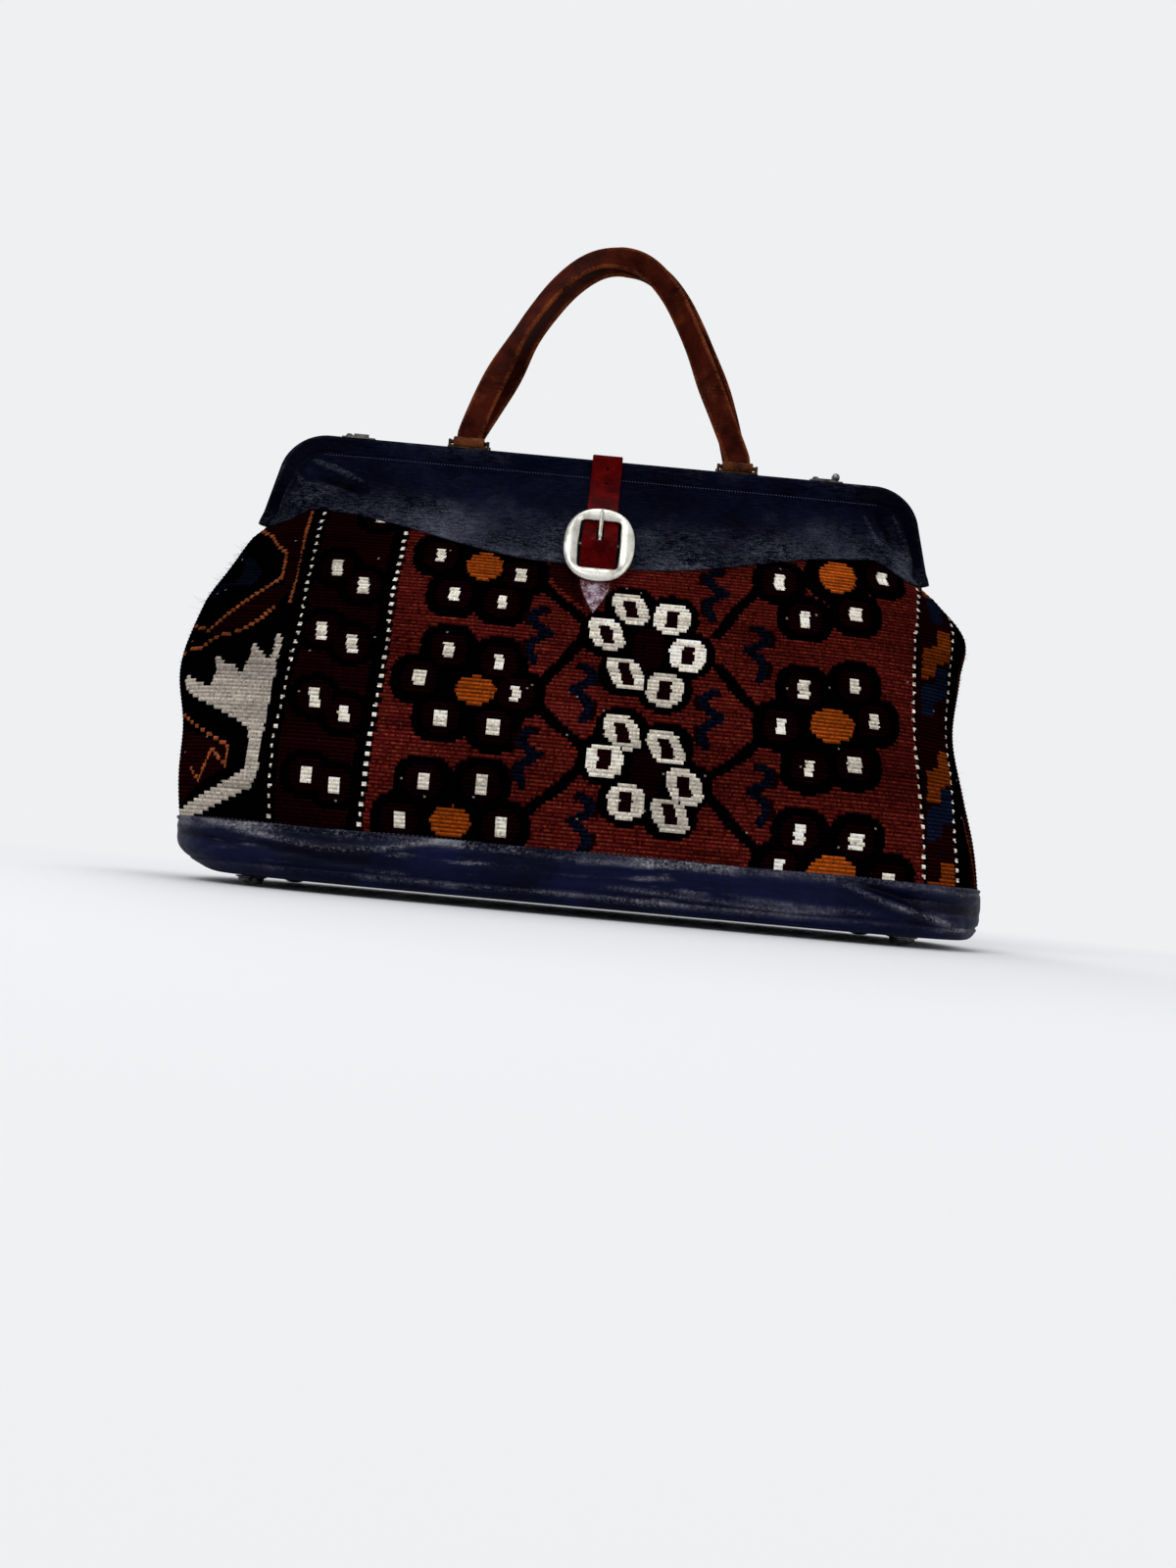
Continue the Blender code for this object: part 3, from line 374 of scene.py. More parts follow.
def turned(name, profile, centre, axis, look, steps):
    """A turned piece: a profile of radius and height spun round its axis."""
    mesh = bpy.data.meshes.new(name)
    obj = placed(name, mesh)
    mesh.from_pydata(
        [(r * MM, 0, h * MM) for r, h in profile], [(k, k + 1) for k in range(len(profile) - 1)], []
    )
    chosen(obj)
    bpy.ops.object.mode_set(mode="EDIT")
    bpy.ops.mesh.select_all(action="SELECT")
    bpy.ops.mesh.spin(steps=steps, angle=2 * math.pi, center=(0, 0, 0), axis=(0, 0, 1))
    bpy.ops.mesh.select_all(action="SELECT")
    bpy.ops.mesh.remove_doubles(threshold=1e-6)
    bpy.ops.mesh.normals_make_consistent(inside=False)
    bpy.ops.object.mode_set(mode="OBJECT")
    turn = Vector((0, 0, 1)).rotation_difference(Vector(axis)).to_matrix().to_4x4()
    mesh.transform(Matrix.Translation(Vector(centre)) @ turn)
    mesh.materials.clear()
    mesh.materials.append(look)
    mesh.shade_smooth()
    mesh.set_sharp_from_angle(angle=math.radians(40))
    obj.select_set(False)
    return obj


def cut(obj, cutter):
    """Takes the cutter's shape out of the piece."""
    chosen(obj)
    step = obj.modifiers.new("cut", "BOOLEAN")
    step.object = cutter
    step.operation = "DIFFERENCE"
    step.solver = "EXACT"
    bpy.ops.object.modifier_apply(modifier=step.name)
    bpy.data.objects.remove(cutter, do_unlink=True)
    obj.select_set(False)


def box_cutter(low, high, basis):
    """A box between two corners, given in the basis."""
    bpy.ops.mesh.primitive_cube_add(size=1)
    made = bpy.context.object
    low, high = Vector(low), Vector(high)
    size = high - low
    place = Matrix.Translation((low + high) / 2) @ Matrix.Diagonal((*size, 1))
    made.data.transform(basis @ place)
    return made


# ---------------------------------------------------------------- camera, light and floor

CAMERA_PLACE = (CENTRE_SHIFT, -0.903, 0.036)
CAMERA_ROLL = math.radians(5.3)
CAMERA_PITCH = math.radians(4.0)
CAMERA_LENS = 17.84
BACKDROP = (0.86, 0.87, 0.885)
# Name, place, size in metres and power in watts
LAMPS = (
    ("key", (-0.85, -1.35, 1.55), 1.1, 17),
    ("fill", (1.25, -1.25, 0.75), 1.3, 8),
    ("top", (0.1, 0.25, 1.7), 1.2, 9),
    ("back", (-0.6, 1.6, 1.0), 1.4, 8),
)
LAMP_AIM = Vector((0, 0, 0.2))


def set_stage():
    """Camera, world, lamps and floor."""
    level = Vector((0, -math.sin(CAMERA_PITCH), math.cos(CAMERA_PITCH)))
    forward = Vector((0, math.cos(CAMERA_PITCH), math.sin(CAMERA_PITCH)))
    right = X * math.cos(CAMERA_ROLL) + level * math.sin(CAMERA_ROLL)
    up = -X * math.sin(CAMERA_ROLL) + level * math.cos(CAMERA_ROLL)
    data = bpy.data.cameras.new("view")
    data.sensor_fit = "VERTICAL"
    data.sensor_height = 24
    data.lens = CAMERA_LENS
    data.clip_start = 0.02
    camera = placed("view", data)
    turn = Matrix((right, up, -forward)).transposed().to_4x4()
    camera.matrix_world = Matrix.Translation(CAMERA_PLACE) @ turn
    bpy.context.scene.camera = camera
    bpy.context.scene.view_settings.view_transform = "Standard"

    world = bpy.data.worlds.new("studio")
    bpy.context.scene.world = world
    world.use_nodes = True
    world.node_tree.nodes.clear()
    n = Nodes(world.node_tree)
    lit = n.add("ShaderNodeBackground", {"Color": (0.93, 0.95, 1.0), "Strength": 0.42})
    seen = n.add("ShaderNodeBackground", {"Color": BACKDROP, "Strength": 1.0})
    ray = n.add("ShaderNodeLightPath").outputs
    direct = n.plus(ray["Is Camera Ray"], ray["Is Glossy Ray"], True)
    clear = n.plus(direct, ray["Is Transmission Ray"], True)
    mixed = n.add("ShaderNodeMixShader", {0: clear, 1: lit.outputs[0], 2: seen.outputs[0]})
    n.add("ShaderNodeOutputWorld", {0: mixed.outputs[0]})

    for name, place, size, power in LAMPS:
        lamp = bpy.data.lights.new(name, "AREA")
        lamp.size = size
        lamp.energy = power
        obj = placed(name, lamp)
        turn = (Vector(place) - LAMP_AIM).to_track_quat("Z", "Y").to_matrix().to_4x4()
        obj.matrix_world = Matrix.Translation(place) @ turn

    deselect()
    bpy.ops.mesh.primitive_plane_add(size=9, location=(0, 0, -0.0004))
    floor = bpy.context.object
    floor.name = "studio_floor"
    floor.data.materials.append(floor_look())


def floor_look():
    """A pale floor that keeps the bag's shadow near it and is as white as the background further off."""
    look = bpy.data.materials.new("pale_floor")
    look.use_nodes = True
    nodes = Nodes(look.node_tree)
    paint = look.node_tree.nodes["Principled BSDF"]
    paint.inputs["Base Color"].default_value = (0.85, 0.86, 0.875, 1)
    paint.inputs["Roughness"].default_value = 0.9
    paint.inputs["Specular IOR Level"].default_value = 0.1
    away = nodes.add("ShaderNodeVectorMath", {0: nodes.place()}, operation="LENGTH")
    far = nodes.ramp(away.outputs["Value"], 0.42, 0.85)
    seen = nodes.add("ShaderNodeLightPath").outputs["Is Camera Ray"]
    share = nodes.times(far, seen)
    plain = nodes.add("ShaderNodeEmission", {"Color": BACKDROP})
    mixed = nodes.add("ShaderNodeMixShader", {0: share, 1: paint.outputs[0], 2: plain.outputs[0]})
    out = look.node_tree.nodes["Material Output"]
    look.node_tree.links.new(mixed.outputs[0], out.inputs["Surface"])
    return look


# ---------------------------------------------------------------- materials

def rgb(red, green, blue):
    """A linear colour from the 0 to 255 values of a screen."""
    out = []
    for value in (red, green, blue):
        c = value / 255
        out.append(c / 12.92 if c <= 0.04045 else ((c + 0.055) / 1.055) ** 2.4)
    return tuple(out)


class Nodes:
    """Short words for building a node tree."""

    def __init__(self, tree):
        self.tree = tree

    def add(self, kind, inputs=None, **settings):
        node = self.tree.nodes.new(kind)
        for key, value in settings.items():
            setattr(node, key, value)
        for key, value in (inputs or {}).items():
            socket = node.inputs[key]
            if hasattr(value, "is_output"):
                self.tree.links.new(value, socket)
            elif isinstance(value, tuple) and len(value) == 3 and socket.type == "RGBA":
                socket.default_value = (*value, 1)
            else:
                socket.default_value = value
        return node

    def noise(self, vector, scale, detail=3.0, rough=0.55, distort=0.0):
        made = self.add(
            "ShaderNodeTexNoise",
            {"Vector": vector, "Scale": scale, "Detail": detail, "Roughness": rough, "Distortion": distort}
        )
        return made.outputs["Fac"]

    def ramp(self, value, low, high, out_low=0.0, out_high=1.0):
        made = self.add(
            "ShaderNodeMapRange",
            {"Value": value, "From Min": low, "From Max": high, "To Min": out_low, "To Max": out_high}
        )
        return made.outputs["Result"]

    def maths(self, operation, a, b, clamp=False):
        return self.add("ShaderNodeMath", {0: a, 1: b}, operation=operation, use_clamp=clamp).outputs[0]

    def times(self, a, b, clamp=False):
        return self.maths("MULTIPLY", a, b, clamp)

    def plus(self, a, b, clamp=False):
        return self.maths("ADD", a, b, clamp)

    def place(self):
        return self.add("ShaderNodeTexCoord").outputs["Object"]

    def value(self, name):
        return self.add("ShaderNodeAttribute", attribute_name=name).outputs["Fac"]

    def mix(self, share, a, b):
        made = self.add("ShaderNodeMix", data_type="RGBA")
        for socket, value in ((made.inputs[0], share), (made.inputs[6], a), (made.inputs[7], b)):
            if hasattr(value, "is_output"):
                self.tree.links.new(value, socket)
            else:
                socket.default_value = (*value, 1) if isinstance(
                    value, tuple
                ) and len(value) == 3 else value
        return made.outputs[2]

    def scale_vector(self, vector, factors):
        return self.add("ShaderNodeMapping", {"Vector": vector, "Scale": factors}).outputs[0]

    def bump(self, height, strength, distance, normal=None):
        inputs = {"Height": height, "Strength": strength, "Distance": distance}
        if normal is not None:
            inputs["Normal"] = normal
        return self.add("ShaderNodeBump", inputs).outputs[0]


def new_look(name):
    """A new material, its nodes and its shader."""
    look = bpy.data.materials.new(name)
    look.use_nodes = True
    nodes = Nodes(look.node_tree)
    return look, nodes, look.node_tree.nodes["Principled BSDF"]


def shade(nodes, shader, colour, roughness, normal=None, **fixed):
    """Joins the worked out values to the shader."""
    nodes.tree.links.new(colour, shader.inputs["Base Color"])
    nodes.tree.links.new(roughness, shader.inputs["Roughness"])
    if normal is not None:
        nodes.tree.links.new(normal, shader.inputs["Normal"])
    for key, value in fixed.items():
        shader.inputs[key.replace("_", " ")].default_value = value


def grain_group():
    """Leather grain: a height of pores and creases, and a mask of its cloudy tone."""
    tree = bpy.data.node_groups.new("leather_grain", "ShaderNodeTree")
    for name, kind, start in (
        ("Vector", "NodeSocketVector", None), ("Pore Scale", "NodeSocketFloat", 900.0),
        ("Cloud Scale", "NodeSocketFloat", 22.0)
    ):
        made = tree.interface.new_socket(name=name, in_out="INPUT", socket_type=kind)
        if start is not None:
            made.default_value = start
    for name in ("Height", "Cloud", "Fleck"):
        tree.interface.new_socket(name=name, in_out="OUTPUT", socket_type="NodeSocketFloat")
    n = Nodes(tree)
    start, end = n.add("NodeGroupInput"), n.add("NodeGroupOutput")
    vector = start.outputs["Vector"]
    pores = n.add(
        "ShaderNodeTexVoronoi", {"Vector": vector, "Scale": start.outputs["Pore Scale"]},
        feature="SMOOTH_F1"
    ).outputs["Distance"]
    larger = n.times(start.outputs["Pore Scale"], 0.28)
    crease = n.noise(vector, larger, 4.0, 0.6)
    height = n.plus(n.times(pores, 0.6), n.times(crease, 0.9))
    cloud = n.noise(vector, start.outputs["Cloud Scale"], 5.0, 0.62, 0.4)
    smaller = n.times(start.outputs["Pore Scale"], 0.42)
    fleck = n.noise(vector, smaller, 2.0, 0.8)
    tree.links.new(height, end.inputs["Height"])
    tree.links.new(cloud, end.inputs["Cloud"])
    tree.links.new(fleck, end.inputs["Fleck"])
    return tree


def leather(
    name, group, dark, light, worn_and_lit_tone, rough, pore, cloud,
    spread=(0.38, 0.64), depth=0.12, scratch=0.35, nap=0.0, **fixed,
):
    """Leather from a dark and a light tone. It pales to a third tone with rubbing and, on the yokes, with
    painted light; it turns nearly black with painted shade in the valleys of folds and beside the frame's
    arms."""
    look, n, shader = new_look(name)
    place = n.place()
    grain = n.add("ShaderNodeGroup", node_tree=group)
    n.tree.links.new(place, grain.inputs["Vector"])
    grain.inputs["Pore Scale"].default_value = pore
    grain.inputs["Cloud Scale"].default_value = cloud
    # Rubbing, and on the yokes painted light: paler low down, darker under the rail.
    rub_and_painted_light = n.value("wear_and_painted_light")
    strokes = n.add(
        "ShaderNodeMapping", {"Vector": place, "Rotation": (0.0, 0.65, 0.0), "Scale": (150, 300, 900)}
    ).outputs[0]
    brushed = n.ramp(n.noise(strokes, 1.0, 4.0, 0.7), 0.3, 0.7, -nap, nap)
    tone = n.plus(n.ramp(grain.outputs["Cloud"], *spread), brushed, True)
    base = n.mix(tone, dark, light)
    fleck = n.ramp(grain.outputs["Fleck"], 0.45, 0.75)
    streak = n.noise(n.scale_vector(place, (30, 120, 260)), 1.0, 4.0, 0.7)
    patch = n.plus(rub_and_painted_light, n.times(n.ramp(streak, 0.66, 0.78), scratch))
    mottle = n.plus(n.ramp(n.plus(fleck, n.ramp(grain.outputs["Cloud"], 0.35, 0.7)), 0.25, 1.3), brushed)
    share = n.times(patch, mottle, True)
    colour = n.mix(share, base, worn_and_lit_tone)
    pored = n.mix(n.times(n.ramp(grain.outputs["Height"], 0.75, 0.45), 0.35), colour, dark)
    # Painted shade: nearly black in the valleys of folds and beside the frame's arms.
    painted_shade = n.value("painted_shade")
    darker = n.mix(painted_shade, pored, tuple(0.08 * value for value in dark))
    roughness = n.ramp(n.plus(grain.outputs["Cloud"], n.times(share, 0.5)), 0.3, 1.0, rough[0], rough[1])
    normal = n.bump(grain.outputs["Height"], 0.55, depth * MM)
    shade(n, shader, darker, roughness, normal, **fixed)
    return look


def kilim_wool():
    """Flat-woven wool: the colour of each stitch on the piece, fine stitches and ribs in the bump, and
    painted shade in the gaps between the fine stitches.
    """
    look, n, shader = new_look("kilim_wool")
    yarn = n.add("ShaderNodeAttribute", attribute_name="yarn").outputs["Color"]
    uv = n.add("ShaderNodeUVMap", uv_map="cloth").outputs[0]
    stitch = n.add(
        "ShaderNodeTexBrick",
        {
            "Vector": uv, "Color1": (1.0, 1.0, 1.0), "Color2": (0.72, 0.72, 0.72),
            "Mortar": (0.16, 0.16, 0.16), "Scale": 1000.0, "Mortar Size": 0.11, "Mortar Smooth": 0.9,
            "Bias": 0.0, "Brick Width": 1.15, "Row Height": 2.8
        },
        offset=0.5
    )
    light = n.add("ShaderNodeSeparateColor", {"Color": stitch.outputs["Color"]}).outputs[0]
    fibre = n.noise(n.scale_vector(uv, (2600, 500, 1)), 1.0, 3.0, 0.7)
    # Painted shade: the gaps between the fine stitches are darkened to about half.
    lift = n.times(n.ramp(light, 0.1, 1.0, 0.52, 1.08), n.ramp(fibre, 0.25, 0.75, 0.80, 1.2))
    colour = n.add("ShaderNodeVectorMath", {0: yarn}, operation="SCALE")
    n.tree.links.new(lift, colour.inputs["Scale"])
    fuzz = n.noise(n.scale_vector(uv, (420, 420, 1)), 1.0, 5.0, 0.75)
    final = n.mix(n.times(n.ramp(fuzz, 0.62, 0.8), 0.012), colour.outputs[0], rgb(120, 92, 84))
    height = n.plus(n.times(light, 0.7), n.times(fibre, 0.35))
    shade(
        n, shader, final, n.ramp(fibre, 0.2, 0.8, 0.82, 0.98), n.bump(height, 0.7, 0.35 * MM),
        Specular_IOR_Level=0.0
    )
    return look


def metal(name, light, dark, rough, age=0.5, pits=0.05):
    """Worn metal: clean where rubbing keeps it bright, dulled and cloudy elsewhere, with fine scratches;
    also painted light and shade on the buckle rim, and painted dark reflection on the chrome.
    """
    look, n, shader = new_look(name)
    place = n.place()
    cloud = n.noise(place, 130.0, 5.0, 0.6, 0.3)
    fine = n.noise(n.scale_vector(place, (900, 2600, 2200)), 1.0, 3.0, 0.6)
    speck = n.noise(place, 1500.0, 2.0, 0.7)
    tarnish = n.times(n.ramp(n.plus(cloud, n.times(speck, 0.25)), 0.55, 0.8), age)
    # Clean share: polish, and painted light on the buckle rim's crown. Dulled share: tarnish, and painted
    # shade at the rim's edges and dark reflection on the chrome.
    polish_and_painted_light = n.value("rub_and_painted_light")
    dull_and_painted_shade = n.maths("SUBTRACT", n.plus(tarnish, 0.35), n.times(polish_and_painted_light, 0.6), True)
    colour = n.mix(dull_and_painted_shade, light, dark)
    roughness = n.plus(n.ramp(fine, 0.3, 0.7, rough[0], rough[1]), n.times(tarnish, 0.25))
    shade(
        n, shader, colour, roughness, n.bump(n.plus(n.times(fine, 0.25), cloud), 0.25, pits * MM),
        Metallic=1.0
    )
    return look


def cloth(name, dark, light, thread=0.5):
    """Plain woven lining: crossing threads from two waves, soft stains."""
    look, n, shader = new_look(name)
    place = n.place()
    scale = math.pi / (thread * MM)
    wave = {"Vector": place, "Scale": scale / 20, "Distortion": 0.6, "Detail": 1.0}
    bands = [n.add("ShaderNodeTexWave", wave, bands_direction=way).outputs["Fac"] for way in "XZ"]
    weave = n.times(n.plus(*bands), 0.5)
    stain = n.noise(place, 14.0, 5.0, 0.6, 0.5)
    colour = n.mix(n.ramp(n.plus(stain, n.times(weave, 0.3)), 0.45, 0.9), dark, light)
    shade(n, shader, colour, n.ramp(weave, 0, 1, 0.85, 0.97), n.bump(weave, 0.4, 0.15 * MM))
    return look


def thread_look(name, dark, light):
    """Twisted yarn or sewing thread."""
    look, n, shader = new_look(name)
    place = n.place()
    twist = n.noise(n.scale_vector(place, (1800, 1800, 2400)), 1.0, 2.0, 0.5)
    shade(
        n, shader, n.mix(n.ramp(twist, 0.35, 0.65), dark, light), n.ramp(twist, 0.3, 0.7, 0.6, 0.85),
        n.bump(twist, 0.4, 0.08 * MM)
    )
    return look


LOOKS = {}


def make_looks():
    """Every material of the bag."""
    group = grain_group()
    suede = {"rough": (0.8, 0.97), "pore": 1500.0, "cloud": 14.0, "spread": (0.34, 0.72), "scratch": 0.04}
    LOOKS["kilim"] = kilim_wool()
    LOOKS["yoke"] = leather(
        "navy_suede", group, rgb(1, 2, 10), rgb(14, 15, 33), rgb(80, 83, 94),
        nap=0.55, Specular_IOR_Level=0.006, **suede,
    )
    LOOKS["rail"] = leather(
        "navy_rail", group, rgb(1, 2, 8), rgb(11, 12, 24), rgb(72, 74, 86),
        nap=0.45, Specular_IOR_Level=0.006, **suede,
    )
    LOOKS["base"] = leather(
        "navy_base", group, rgb(1, 3, 20), rgb(13, 17, 52), rgb(150, 148, 154), (0.42, 0.75), pore=1100.0,
        cloud=18.0,
        spread=(0.34, 0.68), depth=0.16, scratch=0.16, nap=0.2, Specular_IOR_Level=0.05,
    )
    LOOKS["strap"] = leather(
        "red_strap", group, rgb(46, 1, 2), rgb(86, 7, 7), rgb(186, 174, 188), (0.4, 0.6), pore=1300.0,
        cloud=60.0,
        spread=(0.36, 0.66), depth=0.16, scratch=0.0, nap=0.35, Specular_IOR_Level=0.004,
    )
    LOOKS["handle"] = leather(
        "brown_handle", group, rgb(30, 5, 2), rgb(64, 19, 9), rgb(126, 64, 30), (0.42, 0.62), pore=1500.0,
        cloud=45.0,
        spread=(0.36, 0.66), depth=0.10, scratch=0.10, nap=0.25, Specular_IOR_Level=0.015,
    )
    # The rolls are the handle's leather in a paler tan: partly pull-up leather paling where it bends,
    # partly painted light on the fold that faces up.
    LOOKS["roll"] = leather(
        "tan_roll", group, rgb(40, 16, 8), rgb(86, 42, 20), rgb(140, 84, 48), (0.5, 0.7), pore=1500.0,
        cloud=60.0,
        depth=0.10, Specular_IOR_Level=0.03,
    )
    LOOKS["silver"] = metal("silver_buckle", rgb(206, 205, 196), rgb(92, 88, 78), (0.22, 0.36), 0.45, 0.05)
    # Painted dark reflection: dark tones and heavy tarnish make the chrome as dark as shiny domes mirroring
    # dark surroundings.
    LOOKS["chrome"] = metal("chrome", rgb(120, 120, 119), rgb(12, 12, 11), (0.05, 0.14), 0.9)
    LOOKS["steel"] = metal("grey_steel", rgb(92, 91, 86), rgb(40, 38, 34), (0.3, 0.5), 0.7, 0.1)
    LOOKS["bronze"] = metal("dull_bronze", rgb(62, 48, 36), rgb(22, 16, 12), (0.4, 0.6), 0.7, 0.1)
    LOOKS["lining"] = cloth("lining_cotton", rgb(74, 62, 48), rgb(132, 116, 92), 0.55)
    LOOKS["backing"] = cloth("backing_cotton", rgb(40, 30, 28), rgb(78, 62, 54), 0.7)
    LOOKS["card"] = cloth("base_card", rgb(120, 98, 70), rgb(160, 136, 104), 0.9)
    LOOKS["thread"] = thread_look("navy_thread", rgb(38, 40, 54), rgb(86, 88, 104))
    LOOKS["fuzz"] = thread_look("dark_wool_ends", rgb(10, 7, 9), rgb(46, 38, 40))


# ---------------------------------------------------------------- the woven pattern

BRICK, DEEP, MAROON, PETAL, BLACK = rgb(
    75, 18, 15
), rgb(46, 8, 7), rgb(21, 2, 4), rgb(15, 1, 3), rgb(2, 1, 2)
CREAM, ASH, ORANGE, BLUE = rgb(226, 215, 198), rgb(178, 167, 154), rgb(146, 64, 16), rgb(12, 17, 33)
TAN = rgb(128, 66, 36)

# Points on the front panel: millimetres across from its middle, round the bulge, and up from the ground
COMB = (
    (-231, 180), (-226, 178), (-227, 166), (-226, 140), (-228, 112), (-229, 83), (-232, 69), (-259, 55),
    (-277, 46),
    (-367, 41), (-368, 47), (-300, 51), (-280, 58), (-254, 71), (-242, 79), (-239, 84), (-240, 108),
    (-248, 114),
    (-278, 126), (-293, 130), (-310, 138), (-313, 145), (-306, 147), (-279, 138), (-275, 151), (-278, 160),
    (-275, 163),
    (-270, 157), (-260, 155), (-254, 149), (-249, 160), (-249, 171), (-246, 171), (-234, 160), (-232, 166),
)
VEINS = (
    ((-227, 295), (-227, 260), (-225, 227), (-226, 206)),
    (
        (-289, 275), (-255, 260), (-248, 252), (-239, 246), (-237, 225), (-249, 215), (-268, 201),
        (-292, 182), (-350, 195)
    ),
    (
        (-237, 202), (-247, 191), (-261, 182), (-281, 177), (-295, 169), (-337, 164), (-372, 146),
        (-373, 132)
    ),
    ((-372, 124), (-312, 118), (-271, 103), (-256, 97), (-255, 82), (-270, 94), (-279, 71), (-290, 79)),
)
LOZENGE = (
    (-343, 219), (-330, 241), (-314, 254), (-267, 241), (-255, 228), (-259, 219), (-283, 218), (-301, 207)
)
CORNER_FIELD = (
    (-286, 279), (-249, 291), (-228, 295), (-227, 217), (-233, 216), (-239, 246), (-254, 261), (-289, 275)
)
FLANK_FIELD = ((-268, 201), (-240, 217), (-227, 216), (-237, 202), (-261, 184), (-282, 178), (-294, 180))
FOOT_FIELD = ((-372, 122), (-257, 97), (-256, 81), (-300, 55), (-373, 62))
WEDGE = ((-45, 249), (-35, 261), (-28, 255), (-18, 234), (-13, 217), (-36, 235))
EDGE_LINES = (
    (
        (301, 257), (302, 246), (310, 236), (316, 227), (312, 218), (285, 202), (290, 190), (311, 177),
        (317, 163)
    ),
    ((284, 94), (288, 80), (296, 62), (305, 42)),
    ((361, 42), (316, 75), (306, 89)),
)
# One step of the border's key pattern in two colours, and the height of each step up the border
KEY_STEP = ((-14, 14), (-1, 16), (2, -7), (-13, -12), (-14, -22), (-27, -24), (-27, -1), (-14, 2))
KEYS = (
    (264, 218, ORANGE), (265, 190, BLUE), (268, 126, ORANGE), (268, 99, BLUE), (268, 46, ORANGE),
    (271, 284, ORANGE), (272, 262, BLUE)
)
CELL_GAPS = (
    ((-42, 232), (-14, 209)), ((-13, 195), (-38, 160)), ((-40, 143), (-9, 118)), ((-7, 101), (-41, 68)),
    ((106, 242), (81, 207)), ((83, 183), (114, 152)), ((114, 130), (83, 104)), ((86, 87), (121, 55)),
)
DOTTED_LINES = {
    "a": (
        (-218, 40), (-218, 49), (-220, 82), (-221, 103), (-218, 142), (-215, 189), (-217, 249), (-216, 295)
    ),
    "b": ((-155, 40), (-153, 102), (-151, 149), (-150, 175), (-152, 221), (-150, 295)),
    "c": ((241, 40), (237, 86), (233, 114), (231, 159), (230, 226), (234, 249), (248, 295)),
    "d": ((272, 40), (268, 80), (270, 129), (268, 189), (267, 229), (270, 262), (274, 295)),
}
ROSETTES = (
    (
        (-89, 245), (13, 11),
        ((-122, 251, 3), (-108, 220, 3.5), (-73, 217, 3), (-62, 241, 3.5), (-106, 275, 3), (-73, 275, 3))
    ),
    (
        (-84, 150), (14, 10),
        (
            (-106, 178, 3.5), (-70, 172, 3), (-124, 155, 4.5), (-106, 129, 4.5), (-69, 125, 4.5),
            (-56, 150, 3)
        )
    ),
    (
        (-92, 57), (14, 11),
        ((-113, 83, 4), (-73, 85, 4), (-127, 56, 4), (-57, 57, 4), (-111, 31, 4), (-74, 31, 4))
    ),
    (
        (170, 265), (14, 13),
        ((126, 255, 3.5), (206, 270, 4), (145, 227, 3.5), (183, 236, 4.5), (151, 294, 3.5), (187, 298, 3.5))
    ),
    (
        (167, 149), (16, 12),
        ((145, 173, 4), (183, 180, 3.5), (130, 145, 3), (198, 155, 3.5), (151, 117, 3), (183, 122, 5))
    ),
    (
        (173, 46), (17, 12),
        ((148, 71, 4), (188, 70, 5), (136, 46, 3.5), (213, 45, 4.5), (151, 23, 4), (188, 23, 4))
    ),
)
RINGS = (
    ((34, 192), ((19, 222, 1), (49, 217, 0), (3, 201, 1), (62, 190, 0), (19, 172, 1), (47, 163, 0))),
    ((39, 102), ((20, 130, 1), (51, 122, 1), (9, 109, 0), (66, 96, 1), (27, 82, 0), (58, 75, 1))),
)
RING_FADING = (0.66, 0.84, 0.93, 0.98, 0.86, 0.76)
HOOKS = (
    (-43, 195, 1), (-11, 155, -1), (-42, 106, 1), (-4, 63, -1), (81, 239, 1), (110, 196, -1), (82, 144, 1),
    (117, 95, -1)
)
HOOK = ((1, 27), (8, 22), (9, 15), (3, 9), (-7, 3), (0, -2), (7, -8), (8, -17), (4, -27))
BAND_LOBES = (
    (-172, 281), (-196, 235), (-174, 221), (-198, 185), (-175, 176), (-195, 135), (-173, 125), (-194, 81),
    (-174, 75)
)


def inside(shape, s, z):
    """Where the points lie inside a closed outline."""
    found = np.zeros(s.shape, bool)
    for (x1, y1), (x2, y2) in zip(shape, shape[1:] + shape[:1]):
        if y1 == y2:
            continue
        crosses = (z >= min(y1, y2)) & (z < max(y1, y2))
        found ^= crosses & (s < x1 + (z - y1) * (x2 - x1) / (y2 - y1))
    return found


def along_line(points, s, z, half):
    """Where the points lie nearer than half to a line."""
    near = np.zeros(s.shape, bool)
    for (x1, y1), (x2, y2) in zip(points, points[1:]):
        dx, dy = x2 - x1, y2 - y1
        t = np.clip(((s - x1) * dx + (z - y1) * dy) / (dx * dx + dy * dy), 0, 1)
        near |= np.hypot(s - x1 - t * dx, z - y1 - t * dy) < half
    return near


def round_spot(s, z, x, y, rx, ry, power=2.2, slant=0.0):
    """Where the points lie inside a rounded spot."""
    u, v = (s - x - slant * (z - y)) / rx, (z - y) / ry
    return np.abs(u) ** power + np.abs(v) ** power < 1


def line_at(name, z):
    """Where a dotted line runs at this height."""
    points = DOTTED_LINES[name]
    return np.interp(z, [p[1] for p in points], [p[0] for p in points])


